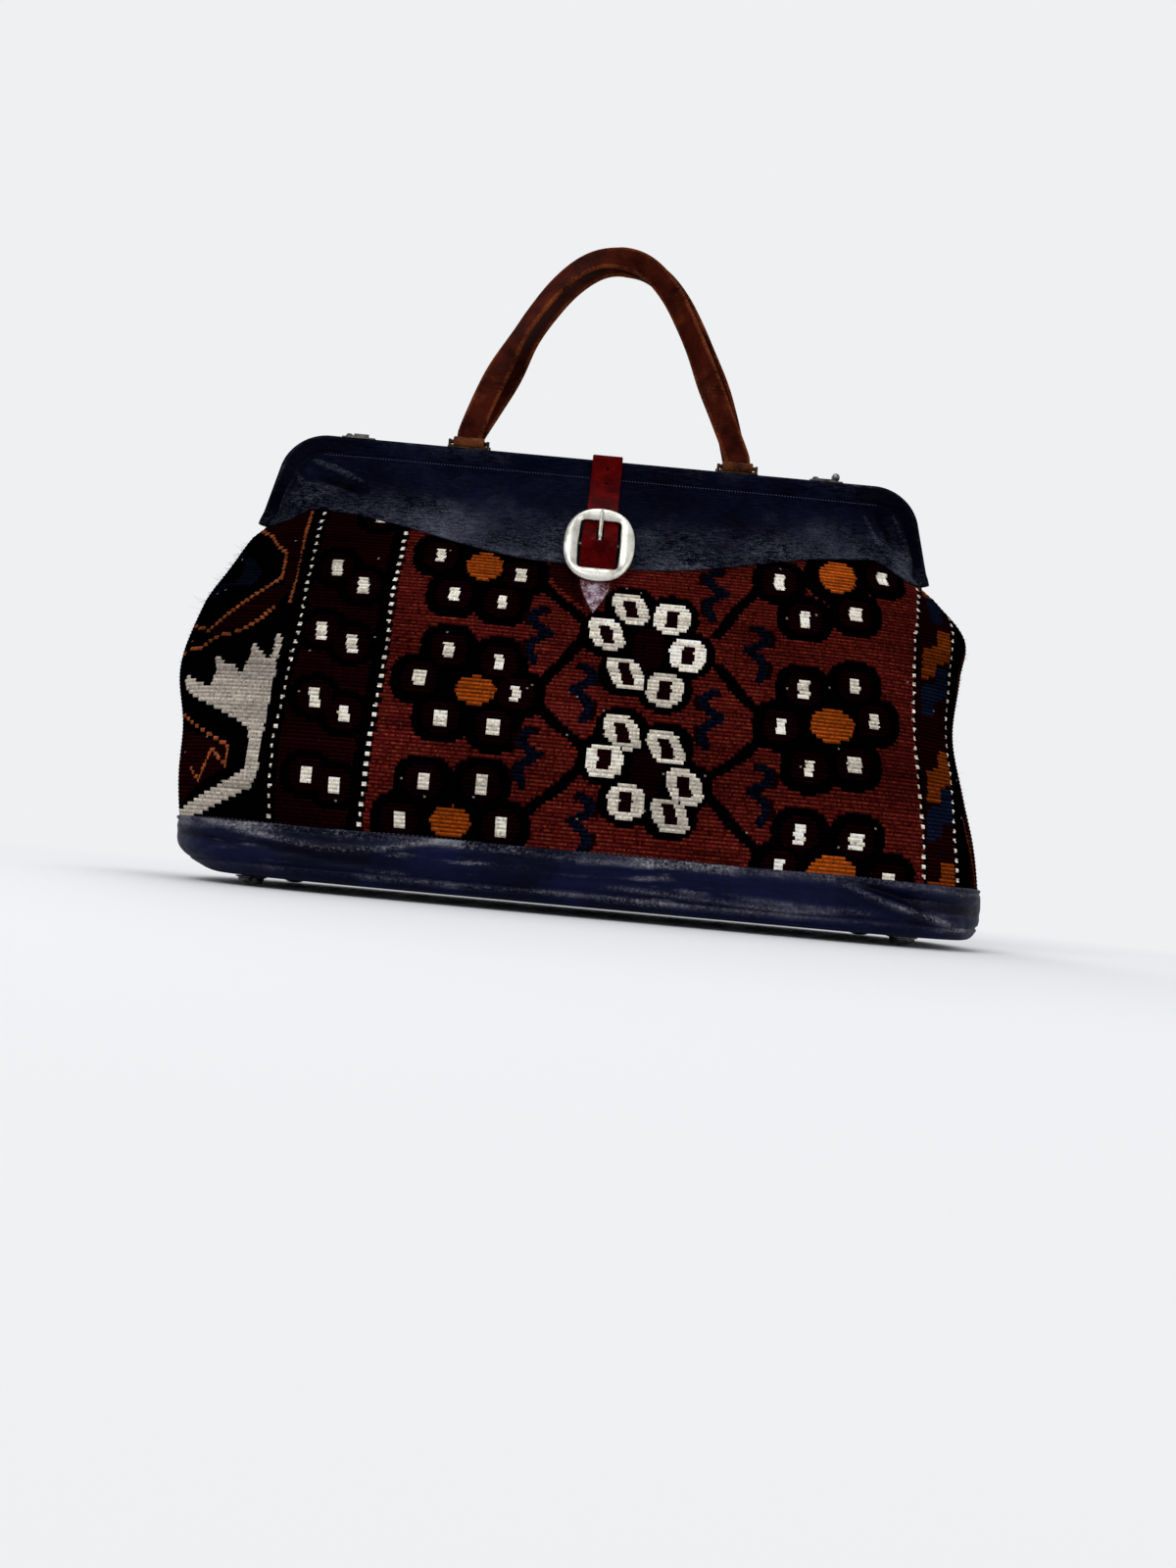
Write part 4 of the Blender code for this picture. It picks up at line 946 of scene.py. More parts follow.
def paint(s, z, row, seed):
    """The colour of every stitch. s runs across the bag from its middle and z up it, in millimetres."""
    rng = np.random.default_rng(seed)
    ribs = int(row.max()) // 2 + 2
    shift = rng.normal(0, 0.40, ribs)[row // 2]
    wobble = 1.2 * np.sin(z / 31.0 + 0.6) + 0.9 * np.sin(z / 13.0)
    straight = s
    s = s + shift
    a, b, c, d = (line_at(k, z) for k in "abcd")
    colour = np.empty(s.shape + (3,))
    colour[:] = BRICK

    def lay(mask, value):
        colour[mask] = value

    def faded(value, share):
        return tuple(v * share for v in value)

    left, band, middle, border, beyond = s < a, (
        s >= a
    ) & (s < b), (s >= b) & (s < c), (s > c) & (s < d), s >= d

    # The field at the left end
    lay(left, BLACK)
    for field in (CORNER_FIELD, FLANK_FIELD, FOOT_FIELD):
        lay(left & inside(field, s, z), MAROON)
    lay(left & inside(LOZENGE, s, z), faded(BLUE, 0.5))
    lay(left & round_spot(s, z, -288, 231, 14, 12), BLACK)
    for vein in VEINS:
        lay(left & along_line(vein, straight, z, 1.0), TAN)
    lay(left & inside(COMB, s, z), ASH)
    # A darker wedge of brick under the buckle's lower left.
    lay(inside(WEDGE, s, z), faded(DEEP, 0.5))

    # The dark band beside it
    lay(band, MAROON)
    for x, y in BAND_LOBES:
        lay(band & round_spot(s, z, x, y, 19, 17), BLACK)
    for x, y in BAND_LOBES:
        lay(band & round_spot(s, z, x, y, 12.5, 11.5), PETAL)
    lay((s > a - 9) & (s < a + 4.5), BLACK)
    lay((s > b - 9) & (s < b + 1.2), BLACK)
    for x, y in BAND_LOBES:
        lay((np.abs(s - x + 0.12 * (z - y)) < 3.7) & (np.abs(z - y) < 6.4), CREAM)

    # Rosettes in their black grounds
    for (x, y), _, petals in ROSETTES:
        lay(round_spot(s, z, x, y, 26, 24) & middle, BLACK)
        for px, py, _ in petals:
            lay(round_spot(s, z, px, py, 20.5, 18.5, 2.6) & (s > b + 2) & (s < c - 2.5 + wobble), BLACK)
    for (x, y), (rx, ry), petals in ROSETTES:
        for px, py, _ in petals:
            lay(round_spot(s, z, px, py, 12.5, 11.5, 2.6) & (s > b + 2) & (s < c - 3), PETAL)
        for px, py, wide in petals:
            lay((np.abs(s - px) < wide) & (np.abs(z - py) < 5.9), CREAM)
        lay(round_spot(s, z, x, y, rx, ry, 2.1), ORANGE)

    # Gaps between the brick cells, and the hook in each cell
    for line in CELL_GAPS:
        lay(along_line(line, s + 1.1 * np.sin(z / 5.0), z, 3.9), BLACK)
    for x, y, way in HOOKS:
        shape = tuple((x - way * px * 0.8, y + py * 0.72) for px, py in HOOK)
        for bx, by, wide, high in ((-9.5, 12.0, 4.6, 6.0), (-8.5, -11.0, 4.4, 7.0), (2.5, 19.0, 2.6, 3.0)):
            lay(round_spot(s, z, x + way * bx, y + by, wide, high, 2.4), faded(DEEP, 0.22))
        body = along_line(shape, s, z, 3.3)
        lay(body, faded(BLUE, 0.62))
        lay(body & (rng.random(s.shape) < 0.40), faded(BLUE, 0.22))

    # Rings of six
    for (mx, my), group in RINGS:
        lay(round_spot(s, z, mx, my, 27, 29), BLACK)
        for x, y, _ in group:
            lay(round_spot(s, z, x, y, 19.5, 17.6, 2.2), BLACK)
        lay(round_spot(s, z, mx, my, 11, 16, 2.5), PETAL)
        for (x, y, slanted), bleached in zip(group, RING_FADING):
            ring = round_spot(s, z, x, y, 12.2 if slanted else 13.0, 11.8, 2.8, -0.35 * slanted)
            lay(ring, faded(CREAM, bleached))
            lay((np.abs(s - x - 0.3 * slanted * (y - z)) < 4.4) & (np.abs(z - y) < 7.0), MAROON)

    # The border and the field at the right end
    lay(border, MAROON)
    for x, y, value in KEYS:
        shape = tuple((x + px, y + py) for px, py in KEY_STEP)
        lay(border & inside(shape, s, z), faded(value, 0.55) if value is ORANGE else value)
    lay((s > c) & (s < c + 2.6), BLACK)
    lay(beyond, BLACK)
    lay((s > 290) & (s < 338) & (z < 250), MAROON)
    for offset in (0.0, 9.0):
        stripe = np.interp(z, (40, 110, 200, 262), (300, 291, 285, 296)) + offset
        lay(beyond & (np.abs(s - stripe) < 0.7), faded(TAN, 0.30))
    for line in EDGE_LINES:
        lay(beyond & along_line(line, straight, z, 0.8), faded(TAN, 0.45))
    for name, half in (("a", 1.0), ("b", 1.25), ("c", 1.1), ("d", 1.05)):
        at = line_at(name, z) + 0.3 * shift
        lay((np.abs(straight - at) < 3.2) & (row % 5 >= 2) & (name in "ab"), BLACK)
        lay((np.abs(straight - at) < half) & (row % 5 < 2), CREAM)

    # Yarns differ along the rows, stitch by stitch, and the brick fades and reddens in patches.
    # The ribs are painted in light and shade.
    rib_tone = rng.normal(1.0, 0.10, ribs)[row // 2]
    length = 24
    piece = rng.normal(1.0, 0.11, (ribs, s.shape[1] // length + 2))
    patch = piece[row // 2, np.arange(s.shape[1])[None, :] // length]
    cell = rng.normal(1.0, 0.18, s.shape)
    pale = colour.max(axis=-1) > 0.3
    veined = np.abs(colour[..., 1] - TAN[1]) < 0.002
    # Painted shade in the valley rows between ribs, milder on pale and tan yarn, and painted light on the
    # crest rows.
    valley = np.where(row % 2 == 0, np.where(pale | veined, 0.74, 0.40), 1.18)
    cloudy = 1 + 0.34 * np.sin(s / 37.0 + 1.3 * np.sin(z / 29.0)) * np.sin(z / 33.0 + s / 61.0 + 0.7)
    colour *= (rib_tone * patch * cell * valley * cloudy)[..., None]
    warm = (colour[..., 0] > 0.02) & (colour[..., 1] < 0.14 * colour[..., 0]) & ~veined
    # Rusty specks on the crest rows: partly yarn colour, partly painted highlight on the crests.
    colour[warm & (row % 2 == 1) & (rng.random(s.shape) < 0.30)] *= (1.4, 2.3, 1.4)
    colour[warm & (rng.random(s.shape) < 0.14)] *= 0.4
    stray = (colour.max(axis=-1) < 0.02) & (rng.random(s.shape) < 0.0012)
    colour[stray] = rgb(120, 110, 104)
    return np.clip(colour, 0, 0.9)


# ---------------------------------------------------------------- woven panels

def swell(x, z, seed):
    """Slow rises and dips of the stuffed cloth, outward, in metres. It is quiet round the buckle."""
    soft = fbm(x, 0.3 * z, z, 85 * MM, 2, seed) * 1.5 * MM
    calm = 1 - np.exp(-(((x + 8 * MM) / (42 * MM)) ** 2 + ((z - 262 * MM) / (48 * MM)) ** 2))
    rim = ease(BAND_TOP, BAND_TOP + 22 * MM, z) * (1 - ease(238 * MM, 258 * MM, z))
    return soft * calm * (0.25 + 0.75 * rim)


def row_heights(low, high, pitch):
    """Heights spaced evenly along the front face, one for each row of stitches."""
    z = np.linspace(low, high, 900)
    y = depth_at(0.0, z)
    run = running(z, y)
    return np.interp(np.arange(0, run[-1], pitch), run, z)


def face_grid(heights, share, side, inset=0.0):
    """Points on one face of the tub, evenly spaced round it at each height, and their running lengths."""
    grid = np.empty((len(heights), len(share), 3))
    run_at = np.empty(grid.shape[:2])
    for r, z in enumerate(heights):
        x, y, run = outline(z, inset)
        run_at[r] = np.where(share < 0, -share * run[0], share * run[-1])
        grid[r, :, 0] = np.interp(run_at[r], run, x)
        grid[r, :, 1] = side * np.interp(run_at[r], run, y)
        grid[r, :, 2] = z
    return grid, run_at


def kilim_panel(name, side, seed):
    """One half of the kilim, with a row of faces for each row of stitches."""
    heights = row_heights(BAND_TOP - 1.5 * MM, 292 * MM, STITCH_ROW)
    columns = PANEL_COLUMNS
    rows = len(heights)
    grid, run_at = face_grid(heights, np.linspace(-1, 1, columns), side)
    normal = normals_facing(grid, side)
    lift = swell_grid(grid, seed)
    crest = np.where(np.arange(rows) % 2 == 1, 0.30, -0.18)[:, None] * MM
    base = grid.copy()
    grid = grid + normal * (lift + crest)[..., None]
    grid[:, 0] = base[:, 0] * (1, 0, 1)
    grid[:, -1] = base[:, -1] * (1, 0, 1)
    ends = heights > 262 * MM
    grid[ends, 0, 1] = base[ends, 0, 1]
    grid[ends, -1, 1] = base[ends, -1, 1]

    centre = (base[:-1, :-1] + base[1:, 1:]) / 2
    run_mid = (run_at[:-1, :-1] + run_at[1:, 1:]) / 2 * 1000
    row = np.broadcast_to(np.arange(rows - 1)[:, None], run_mid.shape)
    rib_z = np.array([heights[min(rows - 1, (k // 2) * 2 + 1)] for k in range(rows - 1)]) * 1000
    # The rear is cut from the same rug, so its pattern runs the other way round.
    colour = paint(run_mid * -side, np.broadcast_to(rib_z[:, None], run_mid.shape), row, seed)
    edge = kilim_edge(centre[..., 0])
    reach = 2.2 * MM + 2.3 * MM * (1 - ease(225 * MM, 243 * MM, np.abs(centre[..., 0] - FRAME_SHIFT)))
    keep = (centre[..., 2] < edge + reach).ravel()
    faces = grid_faces(rows, columns, flip=side > 0)[keep]
    obj = make_piece(name, grid, faces, LOOKS["kilim"])
    # The order of faces is kept, so each face takes its own stitch's colour.
    corner = np.repeat(
        np.concatenate([colour.reshape(-1, 3), np.ones((colour.size // 3, 1))], 1)[keep], 4, axis=0
    )
    made = obj.data.color_attributes.new("yarn", "FLOAT_COLOR", "CORNER")
    made.data.foreach_set("color", corner.astype(np.float32).ravel())
    along = np.broadcast_to((np.arange(rows) * STITCH_ROW)[:, None], run_at.shape)
    set_uv(obj, np.stack([run_at + 0.5, along], -1))
    drop_loose(obj)
    return obj


def swell_grid(grid, seed):
    """swell read on every few points and filled in between."""
    rows, columns = grid.shape[:2]
    rr, cc = np.unique(np.append(np.arange(0, rows, 5), rows - 1)), np.unique(
        np.append(np.arange(0, columns, 8), columns - 1)
    )
    few = swell(grid[np.ix_(rr, cc)][..., 0], grid[np.ix_(rr, cc)][..., 2], seed)
    half = np.stack([np.interp(np.arange(rows), rr, few[:, k]) for k in range(len(cc))], 1)
    return np.stack([np.interp(np.arange(columns), cc, half[k]) for k in range(rows)], 0)


def drop_loose(obj):
    """Deletes the points that no face uses."""
    bm = bmesh.new()
    bm.from_mesh(obj.data)
    bmesh.ops.delete(bm, geom=[v for v in bm.verts if not v.link_faces], context="VERTS")
    bm.to_mesh(obj.data)
    bm.free()


def backing_panel(name, side):
    """The cloth behind the kilim, seen when the bag is open."""
    heights = np.linspace(BAND_TOP + 2 * MM, 286 * MM, 42)
    columns = 121
    grid, _ = face_grid(heights, np.linspace(-0.985, 0.985, columns), side, 1.6 * MM)
    top = kilim_edge(grid[-1, :, 0]) - 1.0 * MM
    for c in range(columns):
        z = np.linspace(heights[0], top[c], len(heights))
        grid[:, c, 0] = np.interp(z, grid[:, c, 2].copy(), grid[:, c, 0].copy())
        grid[:, c, 1] = np.interp(z, heights, grid[:, c, 1].copy())
        grid[:, c, 2] = z
    inner = grid.copy()
    inner -= normals_facing(grid, side) * 0.7 * MM
    return slab_piece(name, grid, inner, LOOKS["backing"], flip=side > 0)


# ---------------------------------------------------------------- leather base

def ring_at(z, inset, count):
    """A level outline of the whole tub, evenly spaced, counter-clockwise from the left end of the front."""
    x, y, run = outline(z, inset)
    full_x = np.concatenate([x, x[::-1][1:-1]])
    full_y = np.concatenate([-y, y[::-1][1:-1]])
    closed_x, closed_y = np.append(full_x, full_x[0]), np.append(full_y, full_y[0])
    total = running(closed_x, closed_y)
    at = np.linspace(0, total[-1], count, endpoint=False)
    return np.interp(at, total, closed_x), np.interp(at, total, closed_y)


# Folds on the base's front: a line of points across and up, height, width and how much paler the crest is
# made.
# Folds of negative height sink in, and their valleys are painted in shade.
BASE_FOLDS = (
    (((188, 39), (230, 35), (262, 33), (292, 31)), 3.6, 3.2, 0.25),
    (((194, 33.5), (214, 29), (233, 25), (262, 23), (296, 19)), -5.0, 3.1, 0.0),
    (((184, 31), (200, 26), (214, 21), (241, 15.5), (266, 10)), 4.2, 3.0, 0.85),
    (((110, 16), (150, 14), (205, 13)), 1.2, 3.0, 0.35),
    (((20, 15), (70, 13.5), (140, 10.5), (180, 11)), 1.0, 2.6, 0.45),
    (((-258, 37), (-222, 29.5), (-177, 23.5), (-138, 26.5), (-92, 37)), 2.2, 3.2, 0.75),
    (((-268, 31), (-222, 22), (-177, 16.5), (-120, 17)), -1.6, 3.6, 0.0),
    (((-300, 27), (-272, 26), (-240, 21)), -3.0, 2.6, 0.0),
    (((-296, 33), (-262, 31)), 2.0, 3.0, 0.3),
    (((-92, 6), (-20, 8), (60, 8)), 0.8, 2.2, 0.5),
    (((-60, 34), (0, 31), (60, 33)), 1.0, 3.0, 0.5),
)


def add_base():
    """The leather base: a closed shell of rings with folds on its front."""
    count = BASE_COLUMNS
    rows = [
        (0, 16.0), (0, 9.0), (0.2, 5.6), (0.9, 3.1), (2.2, 1.3), (4.0, 0.35), (6.2, -0.35), (7.6, -0.9),
        (8.6, -0.75), (9.3, 0.25), (10.2, 0.05)
    ]
    rows += [(h, -0.9 - 0.7 * math.sin(math.pi * (h - 10) / 27)) for h in np.arange(11.5, 34.0, 1.1)]
    rows += [
        (34.6, -0.8), (35.4, -1.2), (36.2, -1.75), (37.0, -1.95), (37.7, -1.7), (38.1, -1.0), (38.2, -0.1)
    ]
    outer_count = len(rows)
    rows += [(36.0, 2.9), (22.0, 3.0), (8.0, 3.6), (3.0, 14.0)]
    grid = np.empty((len(rows), count, 3))
    for r, (h, inset) in enumerate(rows):
        z = FLOOR + h * MM
        x, y = ring_at(max(z, FLOOR), inset * MM, count)
        grid[r, :, 0], grid[r, :, 1], grid[r, :, 2] = x, y, z
    normal = normals_of(grid, wrap=True)
    foremost = np.argmin(grid[15, :, 1])
    normal = -normal if normal[15, foremost, 1] > 0 else normal
    x, y, z = grid[..., 0], grid[..., 1], grid[..., 2]
    h = (z - FLOOR) / MM
    long_fold = fbm(x * 0.30, y * 0.30, z * 1.9, 16 * MM, 3, 3)
    crumple = fbm(x, y, z * 1.4, 7 * MM, 3, 5)
    body = ease(3, 9, h) * (1 - ease(33.5, 36, h))
    lift = long_fold * 1.05 + crumple * 0.28
    sag = fbm(x * 0.5, y * 0.5, 0 * z, 40 * MM, 2, 9) * 0.9 * ease(30, 37, h)
    ridge, crests, painted_shade = np.zeros(x.shape), np.zeros(x.shape), np.zeros(x.shape)
    front_side = y < 0.02
    for line, high, wide, pale in BASE_FOLDS:
        across, up = [p[0] for p in line], [p[1] for p in line]
        at = np.interp(x / MM, across, up)
        t = np.clip((x / MM - across[0]) / (across[-1] - across[0]), 0, 1)
        run = np.sin(np.pi * np.clip(0.08 + 0.84 * t, 0, 1)) ** 0.5
        run = run * ease(across[0] - 12, across[0] + 8, x / MM) * (
            1 - ease(across[-1] - 8, across[-1] + 12, x / MM)
        )
        near = np.exp(-((h - at) / wide) ** 2) * run * front_side
        ridge += high * near
        if high < 0:
            # Painted shade in the valley of a fold that sinks in.
            painted_shade = np.maximum(painted_shade, np.clip(-0.24 * high, 0, 0.95) * near)
        crests += pale * np.exp(-((h - at - 0.3 * wide) / (0.55 * wide)) ** 2) * run * front_side
    ends = ease(284 * MM, 297 * MM, np.abs(x + 2 * MM))
    lift = (lift * (1 - 0.7 * ends) + ridge * (1 - 0.5 * ends)) * body
    grid = grid + normal * (lift * MM)[..., None]
    hem = slice(outer_count - 8, outer_count)
    grid[hem, :, 2] += sag[hem] * 0.5 * MM
    grid[:, :, 2] = np.maximum(grid[:, :, 2], FLOOR)
    wear_and_painted_light = (
        0.30 * ease(0.8, 3.0, lift) + 0.85 * np.exp(-((h - 36.2) / 2.6) ** 2)
        + 0.30 * np.exp(-((h - 7.6) / 1.4) ** 2)
    )
    wear_and_painted_light += 0.45 * ease(0.25, 0.85, fbm(x * 0.25, y * 0.25, z * 2.2, 12 * MM, 4, 11)) * body
    wear_and_painted_light *= 0.20 + 1.1 * ease(-0.25, 0.45, fbm(x * 0.6, y, z, 45 * MM, 3, 15))
    wear_and_painted_light += crests * (0.55 + 0.45 * ease(-0.2, 0.5, fbm(x * 0.4, y, z * 2, 10 * MM, 3, 19)))
    wear_and_painted_light += 0.22 * ease(262 * MM, 296 * MM, np.abs(x + 3 * MM)) * ease(
        0.0, 0.5, fbm(x, y, z, 9 * MM, 3, 13) + 0.25
    )
    middle = [[-2 * MM, 0, FLOOR], [-2 * MM, 0, FLOOR + 3 * MM]]
    obj = shell_piece("base_shell", grid, middle, LOOKS["base"])
    # The painted shade of the valleys takes away their paleness.
    set_shell_value(obj, "wear_and_painted_light", wear_and_painted_light * (1 - painted_shade))
    set_shell_value(obj, "painted_shade", painted_shade)
    return obj


def add_feet():
    """The four dome studs, each with the solid it stands for."""
    feet = []
    dome = FOOT_RADIUS / MM
    profile = [
        (0.0, 6.6), (dome + 1.7, 6.6), (dome + 2, 6.4), (dome + 2, 6.0), (dome + 1.6, 5.7),
        (dome + 0.5, 5.6), (dome, 5.3)
    ]
    profile += [
        (dome * math.cos(a) ** 0.8, 4.9 - 4.9 * math.sin(a)) for a in np.linspace(0.12, math.pi / 2, 11)
    ]
    profile[-1] = (0.0, 0.0)
    for side, word in ((-1, "left"), (1, "right")):
        for end, where in ((-1, "front"), (1, "rear")):
            feet.append(
                (
                    turned(
                        f"{where}_{word}_stud", profile, (side * FOOT_X, end * FOOT_Y, 0), Z,
                        LOOKS["chrome"], 40
                    ),
                    f"{where}_foot_{word}"
                )
            )
    return feet


# ---------------------------------------------------------------- yokes, rails and their stitches

def frame_corner_x():
    """Where the frame's straight top ends and its corner begins, from its middle."""
    turn = math.pi / 2 - ARM_FLARE
    end_z = RAIL_MIDDLE - CORNER_RADIUS + CORNER_RADIUS * math.cos(turn)
    return PIVOT_HALF - (CORNER_RADIUS * math.sin(turn) + (end_z - PIVOT_Z) * math.tan(ARM_FLARE))


def yoke_half(z, out=0.0):
    """Half width between the frame's arms at this height."""
    inner = CORNER_RADIUS - RAIL_HEIGHT / 2 - 0.3 * MM + out
    centre_z, centre_x = RAIL_MIDDLE - CORNER_RADIUS, frame_corner_x()
    turn = math.pi / 2 - ARM_FLARE
    end_z = centre_z + inner * math.cos(turn)
    up = np.minimum(inner, z - centre_z)
    arc = centre_x + np.sqrt(np.maximum(0, inner * inner - up * up))
    line = centre_x + inner * math.sin(turn) + (end_z - z) * math.tan(ARM_FLARE)
    return np.where(z >= end_z, arc, line)


def frame_path(count=160):
    """Middle line of the frame's bar, left arm end to right arm end, as x and z."""
    corner_x, centre_z = frame_corner_x(), RAIL_MIDDLE - CORNER_RADIUS
    turn = math.pi / 2 - ARM_FLARE
    half = [(PIVOT_HALF, ARM_END_Z)]
    half += [
        (corner_x + CORNER_RADIUS * math.sin(a), centre_z + CORNER_RADIUS * math.cos(a))
        for a in np.linspace(turn, 0, 16)
    ]
    half += [(corner_x * t, RAIL_MIDDLE) for t in (0.8, 0.6, 0.4, 0.2)]
    full = [(-x, z) for x, z in half] + [(0, RAIL_MIDDLE)] + half[::-1]
    p = np.array(full)
    run = running(*p.T)
    at = np.linspace(0, run[-1], count)
    return np.interp(at, run, p[:, 0]) + FRAME_SHIFT, np.interp(at, run, p[:, 1])


# Folds on the yokes' fronts: a line from one point to another, across and up, its height and its width
YOKE_FOLDS = (
    (-224, 329, -203, 322, 3.6, 3.0), (-206, 323, -180, 309, 4.8, 2.6),
    (-214, 314, -176, 302, -3.6, 4.4), (-238, 322, -222, 300, 2.0, 3.0),
    (-230, 308, -196, 301, 2.2, 3.0), (-172, 305, -110, 290, 1.2, 5.0), (228, 330, 240, 292, 3.4, 2.8),
    (216, 332, 229, 294, -2.8, 3.0), (204, 330, 214, 298, 2.2, 3.2), (188, 330, 180, 304, 1.2, 4.5),
    (206, 302, 244, 288, 1.8, 3.4), (150, 331, 225, 334, -0.8, 3.0), (-90, 300, -20, 284, 0.5, 6),
    (40, 282, 130, 298, 0.6, 7),
)


def yoke_folds(x, z, side):
    """Folds of the yoke's leather, outward, in millimetres."""
    xm, zm = (x - FRAME_SHIFT) / MM * (1 if side < 0 else -1), z / MM
    out = np.zeros(x.shape)
    for x0, z0, x1, z1, high, wide in YOKE_FOLDS:
        dx, dz = x1 - x0, z1 - z0
        t = ((xm - x0) * dx + (zm - z0) * dz) / (dx * dx + dz * dz)
        held = np.clip(t, 0, 1)
        away = np.hypot(xm - x0 - held * dx, zm - z0 - held * dz)
        out += high * np.exp(-(away / wide) ** 2) * np.sin(np.pi * np.clip(0.15 + 0.7 * t, 0, 1)) ** 0.8
    return out


def yoke_grid(side, columns=340, rows=60):
    """The yoke's outer and inner points, how pale each is with painted light and scuffs, how dark with
    painted shade, and its rows below the rail.
    """
    t = np.linspace(-1, 1, columns)
    u = np.sign(t) * np.sin(np.pi / 2 * np.abs(t)) ** 0.95
    share = np.linspace(0, 1, rows)[:, None]
    top = RAIL_BOTTOM - 1.5 * MM
    z = np.full((rows, columns), PIVOT_Z)
    for _ in range(12):
        half = np.minimum(yoke_half(z, 1.6 * MM), PIVOT_HALF - 6.4 * MM)
        x = FRAME_SHIFT + u[None, :] * half
        ends = ease(190 * MM, 235 * MM, np.abs(x - FRAME_SHIFT))
        start = kilim_edge(x) - 4.5 * MM + 5.0 * MM * ends
        z = start + (top - start) * share
    y = depth_at(x, z)
    grid = np.stack([x, side * y, z], -1)
    normal = normals_facing(grid, side)
    hem = 1 - ease(0, 0.16, share + 0 * x)
    calm = 1 - np.exp(-((x - STRAP_X) / (34 * MM)) ** 2)
    crease = fbm(x, 0 * x, z, 26 * MM, 3, 21 + side)
    fine = fbm(x, 0 * x, z * 1.3, 6 * MM, 2, 31 + side)
    fade = ease(0.0, 0.10, share) * (1 - ease(0.86, 1.0, share))
    folds = yoke_folds(x, z, side) * fade * (0.3 + 0.7 * calm)
    lift = (folds + (crease * 0.9 * calm + fine * 0.14) * fade) * MM
    # The leather laps over the kilim at its hem, with a valley along the topstitching.
    over = YOKE_SKIN + 0.75 * MM * hem
    valley = 0.22 * MM * np.exp(-(((1 - share + 0 * x) * (top - start) - 0.4 * MM) / (1.4 * MM)) ** 2)
    reach_in = ease(200 * MM, 228 * MM, np.abs(x - FRAME_SHIFT))
    out = lift + over - valley * (1 - reach_in)
    outer = grid + normal * out[..., None]
    inner = grid + normal * (out - 1.7 * MM)[..., None]
    # Painted light: paler low down towards the hem and darker up under the rail; paler too on the hem,
    # folds and creases.
    pale = 0.12 * hem + 0.5 * ease(1.2, 2.6, folds) + 0.35 * ease(0.1, 0.9, crease) * (1 - share)
    pale += 0.62 * (1 - ease(0.05, 0.60, share)) * (0.55 + 0.5 * ease(-0.5, 0.5, crease))

    # Above the stitches it wraps the rail, and sinks into the rail's own cover at the corners.
    away = np.abs(x[-1] - FRAME_SHIFT)
    sink = ease(192 * MM, 208 * MM, away)
    drop = np.maximum(0, away - frame_corner_x())
    corner_top = (
        RAIL_MIDDLE - CORNER_RADIUS
        + np.sqrt(np.maximum(0, (CORNER_RADIUS + RAIL_HEIGHT / 2) ** 2 - drop ** 2)) - 1.4 * MM
    )
    wrap_out, wrap_in = [], []
    for y_out, height in (
        (11.55, 337.6), (11.75, 338.8), (11.8, 340.6), (11.75, 343), (11.65, 346), (11.5, 348.6),
        (11.0, 350.8), (10.1, 352.3), (8.9, 353.0), (7.4, 353.2)
    ):
        ripple = fbm(x[-1], 0 * away, 0 * away + height * MM, 18 * MM, 2, 37 + side) * 0.12
        yy = (y_out + ripple) * (1 - sink) + 9.4 * sink
        zz = (
            np.minimum(height * MM, corner_top) * (1 - sink)
            + np.minimum(height * MM - 1.6 * MM, corner_top) * sink
        )
        wrap_out.append(np.stack([x[-1], side * yy * MM, zz], -1))
        wrap_in.append(np.stack([x[-1], side * (yy - 0.35) * MM, zz - 0.35 * MM], -1))
    outer = np.concatenate([outer, np.array(wrap_out)])
    inner = np.concatenate([inner, np.array(wrap_in)])
    scuffed = 0.02 + 0.30 * fbm(x[-1:], 0 * away, 0 * away, 24 * MM, 3, 39 + side)
    # Painted shade: darker in the valleys of the folds and in a band beside the frame's arms.
    dark = np.clip(0.30 * np.maximum(0, -folds - 0.4), 0, 0.8)
    dark += 0.5 * np.exp(
        -((np.abs(x - FRAME_SHIFT) - np.minimum(yoke_half(z), PIVOT_HALF) + 3 * MM) / (2.6 * MM)) ** 2
    )
    painted_shade = np.concatenate([np.clip(dark, 0, 0.9) * fade, np.zeros((len(wrap_out), columns))])
    # Below the rail the paleness is painted light; on the wrap it is scuffing towards the top edge.
    rub = np.concatenate(
        [pale, np.clip(scuffed * np.linspace(0.1, 1.3, len(wrap_out))[:, None] ** 2, 0, 0.5)]
    )
    return outer, inner, np.clip(rub, 0, 1), painted_shade, rows


def add_yoke(side, word):
    """The leather yoke, and its outer points below the rail."""
    outer, inner, pale, painted_shade, rows = yoke_grid(side)
    obj = slab_piece(f"{word}_yoke_leather", outer, inner, LOOKS["yoke"], flip=side > 0)
    # Painted light and painted shade go onto the yoke's points here, the inner face taking a fifth of the
    # paleness.
    set_value(obj, "wear_and_painted_light", np.concatenate([pale.ravel(), 0.2 * pale.ravel()]))
    set_value(obj, "painted_shade", np.concatenate([painted_shade.ravel(), painted_shade.ravel()]))
    return obj, outer[:rows]


